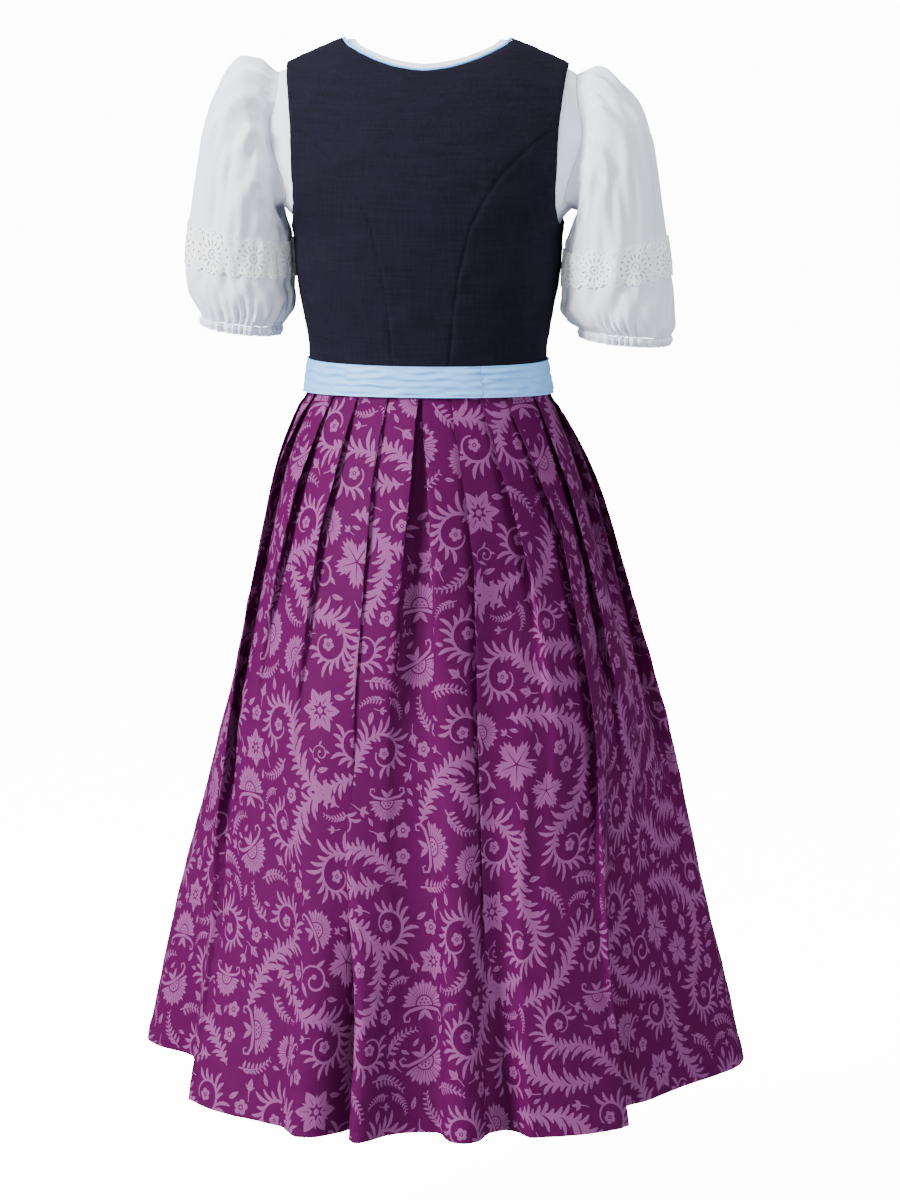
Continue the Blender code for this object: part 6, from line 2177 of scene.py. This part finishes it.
@dataclass
class Apron:
    """The plain apron at the front, gathered into its band, and the tie that goes round the back."""

    waves: int = 9
    cloth: float = 0.0009
    rows: int = 78
    columns: int = 212
    band_top: float = BAND_TOP
    band_top_tilt: float = BAND_TOP_TILT
    band_foot: float = -0.3547
    band_foot_tilt: float = 0.110
    lift_top: float = 0.0017
    lift_foot: float = 0.0062
    front_half_angle: float = 62.0
    join_x: float = 0.0620

    def build(self) -> None:
        """Makes the apron's panel, its band and the two parts of its tie."""
        self.panel()
        half = math.radians(self.front_half_angle)
        join = math.asin(self.join_x / SKIRT[0].half_width)
        skirt = ("printed_skirt_back",)
        self.band("apron_waistband", math.pi - half, math.pi + half, 90, ("printed_skirt_left",))
        self.band("apron_tie_left", half - math.pi, join, 120, skirt)
        self.band("apron_tie_right", join, math.pi - half, 72, skirt)

    def panel(self) -> None:
        """Makes the apron's panel."""
        curve = Curve(APRON, [row.v for row in APRON])
        across = np.linspace(-1.0, 1.0, self.columns)
        rows = []
        for v in np.linspace(0, 1, self.rows) ** 1.15 * (APRON[-1].v - APRON[0].v) + APRON[0].v:
            span, stand, wave = (float(curve.at(v, name)) for name in ("half_span", "stand", "wave"))
            waves = wave * np.cos(math.pi * self.waves * across)
            fine = np.cos(72 * across + 2.0 * np.sin(5 * across)) * 0.0011 * float(bump(v, 0.055, 0.075))
            creases = wander(across * 0.28, np.full(self.columns, v * 0.25), 0.055, 71) * 0.0010
            stand = stand + waves + fine + creases * float(smooth((v - 0.05) / 0.2))
            stitches = 0.0006 * math.exp(-(((v - 0.928) / 0.002) ** 2))
            hem = 0.0006 * float(smooth((v - 0.930) / 0.004)) - stitches
            along = (1.0 - across * span) * SKIRT_SHAPE.half_round(float(v))
            rows.append(SKIRT_SHAPE.row(along, float(v), stand + hem + 0.0004))
        grid = np.stack(rows)
        rows = list(zip(grid, grid - grid_normals(grid, SKIRT_MIDDLE) * self.cloth))
        sew("blue_apron_panel", "apron_panel", rows, BLUE_SATIN, ("printed_skirt_left",))

    def band_row(self, angles: Array, height: float, lift: Array | float) -> Array:
        """Points of the waistband: angle 0 is the centre back, height 0 its top edge and 1 its foot."""
        bend = (angles + math.pi) % math.tau - math.pi
        side = np.where(np.cos(bend) > 0, 1, -1)
        theta = np.arcsin(np.sin(bend) * 0.999999)
        level = mix(self.band_top, self.band_foot, height)
        tilt = mix(self.band_top_tilt, self.band_foot_tilt, height)
        t = TORSO_SHAPE.level_place(theta, side, level, tilt)
        return TORSO_SHAPE.point(theta, t, mix(self.lift_top, self.lift_foot, height) + lift)

    def band(self, node: str, start: float, end: float, columns: int, rests_on: Sequence[str]) -> None:
        """Makes a part of the band: a doubled ribbon with soft lengthwise folds and stitched edges."""
        angles = np.linspace(start + 0.0008, end - 0.0008, columns)
        seed = len(node)
        rows = []
        for height in np.linspace(0.0, 1.0, 30):
            down = np.full(columns, height * 0.037)
            folds = wander(angles * 0.035, down * 1.2, 0.010, seed) * 0.00095
            slow = wander(angles * 0.06, down * 0.6, 0.030, seed + 5) * 0.00070
            edge = min(height, 1 - height)
            sewn = -0.0006 * math.exp(-(((edge - 0.075) / 0.018) ** 2)) + 0.0002
            relief = (folds + slow) * float(smooth(edge / 0.16)) + sewn
            ends = np.minimum(angles - start, end - angles) / 0.02
            relief = relief - 0.0005 * np.exp(-(ends**2))
            rows.append([self.band_row(angles, float(height), lift) for lift in (RIBBON + relief, 0.0)])
        sew(f"ribbon_{node}", node, rows, BLUE_SATIN, rests_on)


@dataclass
class Bow:
    """The tie's bow at the front: a knot, two loops and two hanging ends."""

    apron: Apron
    angle: float = 18.0
    level: float = 0.030
    stand: float = 0.0034
    knot: tuple[float, float, float] = (0.022, 0.014, 0.030)
    loop_length: float = 0.066
    loop_width: float = 0.034
    loop_stand: float = 0.0080
    loop_reach: float = 0.0080
    loop_swell: float = 0.0115
    tail_share: float = 0.430
    tail_uneven: float = 0.030
    tail_top: float = 0.0222
    tail_lift: float = 0.0025

    def points(self, along: Array, out: Array, height: Array) -> Array:
        """Points near the bow: along the waist, out from the band, and up from its middle."""
        half = SKIRT_SHAPE.half_round(self.level)
        start = -(1.0 - math.radians(self.angle) / math.pi) * half
        found = SKIRT_SHAPE.row(start + along, self.level, out)
        tilt = (self.apron.band_top_tilt + self.apron.band_foot_tilt) / 2
        middle = (self.apron.band_top + self.apron.band_foot) / 2 - tilt * found[..., 1]
        found[..., 2] = middle + height
        return found

    def build(self) -> None:
        """Makes the five parts."""
        self.make_knot()
        for word, way in (("left", -1), ("right", 1)):
            self.make_loop(word, way)
            self.make_tail(word, way)

    def make_knot(self) -> None:
        """Makes the knot, pleated down its length."""
        wide, deep, high = self.knot
        turn = np.linspace(0, math.tau, 48, endpoint=False)
        rows = []
        for level in np.linspace(-0.5, 0.5, 25):
            grow = float(np.interp(abs(level), [0.0, 0.30, 0.46, 0.5], [1.0, 0.99, 0.82, 0.60]))
            pleats = 1 + 0.035 * np.cos(9 * turn + 3.0 * level) + 0.02 * np.cos(16 * turn - 5.0 * level)
            along = wide / 2 * np.cos(turn) * grow * pleats
            out = self.stand + deep / 2 + deep / 2 * np.sin(turn) * grow * pleats
            rows.append(self.points(along, out, np.full(48, level * high)))
        points = np.vstack(rows)
        faces = grid_faces(25, 48, True).tolist() + [list(range(48)), list(range(24 * 48, 25 * 48))[::-1]]
        make_body("knot_of_bow", points, faces, BLUE_SATIN, "bow_knot", 75.0)

    def make_loop(self, word: str, way: int) -> None:
        """Makes one loop: a ribbon bent into a drop shape, pinched at the knot."""
        turn = np.linspace(0, math.tau, 96, endpoint=False)
        share = (1 - np.cos(turn)) / 2
        swell = np.sin(turn) * (0.30 + 0.70 * share)
        reach = self.knot[0] / 2 + 0.0001
        centre = self.stand + self.loop_stand + self.loop_reach * share
        rows = []
        for level in np.linspace(0.5, -0.5, 22):
            pinch = 0.0010 * np.cos(level * 21.0 + 0.6) * (1 - smooth(share * 1.4))
            along = reach + self.loop_length * share
            out = centre + self.loop_swell * swell + pinch * np.sign(np.sin(turn))
            height = self.loop_width * level * (0.62 + 0.38 * smooth(share * 1.5)) - 0.014 * share**2
            thin = np.where(share > 0.5, RIBBON, -RIBBON) * np.abs(np.cos(turn))
            thin_out = out - np.sign(np.sin(turn)) * RIBBON * np.abs(np.sin(turn))
            rows.append((
                self.points(way * along, out, height), self.points(way * (along - thin), thin_out, height)
            ))
        sew(f"loop_{word}", f"bow_loop_{word}", rows, BLUE_SATIN, ("knot_of_bow",), True)

    def make_tail(self, word: str, way: int) -> None:
        """Makes one hanging end, outside the apron, widening downwards."""
        curve = Curve(APRON, [row.v for row in APRON])
        start = 1.0 - math.radians(self.angle) / math.pi
        across = np.linspace(-0.5, 0.5, 26)
        foot = self.tail_share + (self.tail_uneven if way > 0 else 0.0)
        rows = []
        for f in np.linspace(0.0, 1.0, 110):
            v = mix(self.tail_top, foot, float(f))
            centre = -start * SKIRT_SHAPE.half_round(v) + way * mix(0.0105, 0.034, f**0.8)
            width = mix(0.016, 0.036, float(smooth(f * 3)))
            stand = float(curve.at(v, "stand")) + float(curve.at(v, "wave")) + self.tail_lift
            ripple = 0.0016 * np.cos(math.tau * (across + 0.2)) * (1 - f)
            folds = 0.0007 * np.cos(across * 24.0) * (1 - float(smooth(f * 4)))
            slack = 0.0012 * (1 + np.sin(f * 17.0 + across * 3.0)) * float(smooth(f * 4)) * 0.6
            stand = stand + ripple + folds + slack
            lifts = (stand + RIBBON, stand)
            rows.append([SKIRT_SHAPE.row(centre + across * width, v, lift) for lift in lifts])
        resting = ("blue_apron_panel", "knot_of_bow")
        sew(f"hanging_end_{word}", f"bow_tail_{word}", rows, BLUE_SATIN, resting)


@dataclass
class Buttons:
    """Six domed pewter buttons down the centre front."""

    count: int = 6
    radius: float = 0.0065
    depth: float = 0.0030
    stand: float = 0.0006
    top: float = -0.1330
    last_rise: float = 0.0120
    band_top: float = BAND_TOP
    band_tilt: float = BAND_TOP_TILT

    def profile(self, share: float) -> float:
        """Height of the button at a share of its radius: a dome, a ring and a rolled rim."""
        dome = math.sqrt(max(1 - share**2, 0.0))
        ring = 0.16 * math.exp(-(((share - 0.62) / 0.06) ** 2))
        hollow = -0.14 * math.exp(-(((share - 0.80) / 0.07) ** 2))
        return self.depth * (0.30 + 0.62 * dome + ring + hollow)

    def build(self) -> None:
        """Makes the buttons."""
        top = TORSO_SHAPE.locate([Place(0.0, self.top)], -1)[0][1]
        foot = float(TORSO_SHAPE.level_place(0.0, -1, self.band_top, self.band_tilt)) + self.last_rise
        for k in range(self.count):
            t = mix(top, foot, k / (self.count - 1))
            here = TORSO_SHAPE.point(0.0, t, 0.0)
            normal = unit(TORSO_SHAPE.point(0.0, t, 0.001) - here)
            self.make(k + 1, here, normal)

    def make(self, number: int, here: Array, normal: Array) -> None:
        """Makes one button, its face along the normal."""
        side = unit(np.cross(normal, np.array([0.0, 0.0, 1.0])))
        up = np.cross(side, normal)
        turn = np.linspace(0, math.tau, 40, endpoint=False)
        rows = [(0.80, 0.0), (0.97, 0.05), (1.0, 0.22)]
        shares = [1.0, 0.95, 0.88, 0.80, 0.72, 0.66, 0.62, 0.57, 0.48, 0.38, 0.27, 0.16, 0.07]
        points = []
        for share, height in rows:
            points.append((share, np.full(40, height * self.depth)))
        for share in shares[1:]:
            petals = 0.07 * self.depth * np.cos(8 * turn) * math.exp(-(((share - 0.36) / 0.14) ** 2))
            points.append((share, self.profile(share) + petals))
        rings = []
        for share, height in points:
            flat = self.radius * share
            ring = here + np.outer(flat * np.cos(turn), side) + np.outer(flat * np.sin(turn), up)
            rings.append(ring + np.outer(height + self.stand, normal))
        count = len(rings)
        faces = grid_faces(count, 40, True).tolist()
        faces += [list(range(40)), list(range((count - 1) * 40, count * 40))[::-1]]
        make_body(f"domed_button_{number}", np.vstack(rings), faces, PEWTER, f"button_{number}")


# Studio

@dataclass
class Studio:
    """A pale studio with the camera where the photograph was taken from."""

    floor_z: float = -1.36
    floor_reach: float = 9.0
    pitch: float = 12.3
    azimuth: float = 4.2
    distance: float = 4.0
    lens: float = 113.4
    centre_x: float = 0.0232845
    centre_z: float = 0.28958

    def build(self) -> None:
        """Makes the floor, the lights and the camera."""
        self.make_floor()
        self.make_sky()
        self.make_light("key", (-3.4, -2.2, 1.5), (0.0, 0.0, -0.45), 1.3, 565.0, (1.0, 0.995, 0.985))
        self.make_light("front", (-0.6, -4.6, 0.6), (0.0, 0.0, -0.5), 2.0, 66.0, (1.0, 1.0, 1.0))
        self.make_light("fill", (3.2, -2.0, 0.2), (0.0, 0.0, -0.45), 1.8, 92.0, (0.97, 0.98, 1.0))
        self.make_light("top", (0.2, 0.4, 2.4), (0.0, 0.0, -0.3), 1.8, 70.0, (1.0, 1.0, 1.0))
        self.make_camera()

    def make_floor(self) -> None:
        """Makes a wide round floor that rises far away, and that throws no light on the set."""
        turn = np.linspace(0.0, math.tau, 73)
        beyond = self.floor_reach + np.linspace(1, 14, 20)
        reach = np.concatenate([np.linspace(0.02, self.floor_reach, 16), beyond])
        rise = 0.11 * np.maximum(reach - self.floor_reach, 0.0) ** 2
        rows = [
            [(r * math.cos(t), r * math.sin(t), self.floor_z + z) for t in turn] for r, z in zip(reach, rise)
        ]
        faces = grid_faces(len(rows), len(turn)).tolist() + [list(range(len(turn) - 1))]
        mesh = new_mesh("studio_floor", np.vstack(rows), faces, (FLOOR,))
        mesh.shade_smooth()
        floor = bpy.data.objects.new("studio_floor", mesh)
        bpy.context.scene.collection.objects.link(floor)
        floor.visible_diffuse = False
        floor.visible_glossy = False
        floor.visible_shadow = False

    def make_sky(self) -> None:
        """Makes the pale surroundings."""
        world = bpy.data.worlds.new("studio_sky")
        world.use_nodes = True
        background = world.node_tree.nodes["Background"]
        background.inputs["Color"].default_value = (0.92, 0.94, 1.0, 1.0)
        background.inputs["Strength"].default_value = 0.44
        bpy.context.scene.world = world

    def make_light(
        self, name: str, place: tuple[float, float, float], aim: tuple[float, float, float], size: float,
        power: float, colour: Colour,
    ) -> None:
        """Makes a soft square light that looks at a point."""
        light = bpy.data.lights.new(name, "AREA")
        light.size = size
        light.energy = power
        light.color = colour
        lamp = bpy.data.objects.new(name, light)
        lamp.location = place
        way = Vector(aim) - lamp.location
        lamp.rotation_euler = way.to_track_quat("-Z", "Y").to_euler()
        bpy.context.scene.collection.objects.link(lamp)

    def make_camera(self) -> None:
        """Makes the camera from its pitch, its azimuth and its distance."""
        pitch, turn = math.radians(self.pitch), math.radians(self.azimuth)
        level, fall = math.cos(pitch), math.sin(pitch)
        right = Vector((math.cos(turn), math.sin(turn), 0.0))
        ahead = Vector((-math.sin(turn) * level, math.cos(turn) * level, -fall))
        up = Vector((-math.sin(turn) * fall, math.cos(turn) * fall, level))
        place = right * self.centre_x + Vector((math.sin(turn), -math.cos(turn), 0.0)) * self.distance
        place.z = self.centre_z
        data = bpy.data.cameras.new("studio_camera")
        data.lens = self.lens
        camera = bpy.data.objects.new("studio_camera", data)
        axes = Matrix((right, up, -ahead)).transposed().to_4x4()
        camera.matrix_world = Matrix.Translation(place) @ axes
        bpy.context.scene.collection.objects.link(camera)
        bpy.context.scene.camera = camera


def main() -> None:
    """Builds the set piece by piece."""
    logging.basicConfig(level=logging.INFO, format="%(name)s %(message)s")
    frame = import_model()
    LOG.info("frame with %d keys", len(frame))
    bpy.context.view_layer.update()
    Bodice().build()
    NeckTrim().build()
    blouse = BlouseBody()
    blouse.build()
    Sleeve("left", SLEEVE_LEFT, True, blouse.ring()).build()
    Sleeve("right", SLEEVE_RIGHT, False, blouse.ring()).build()
    PleatedSkirt().build()
    apron = Apron()
    apron.build()
    Bow(apron).build()
    Buttons().build()
    Studio().build()


if __name__ == "__main__":
    main()
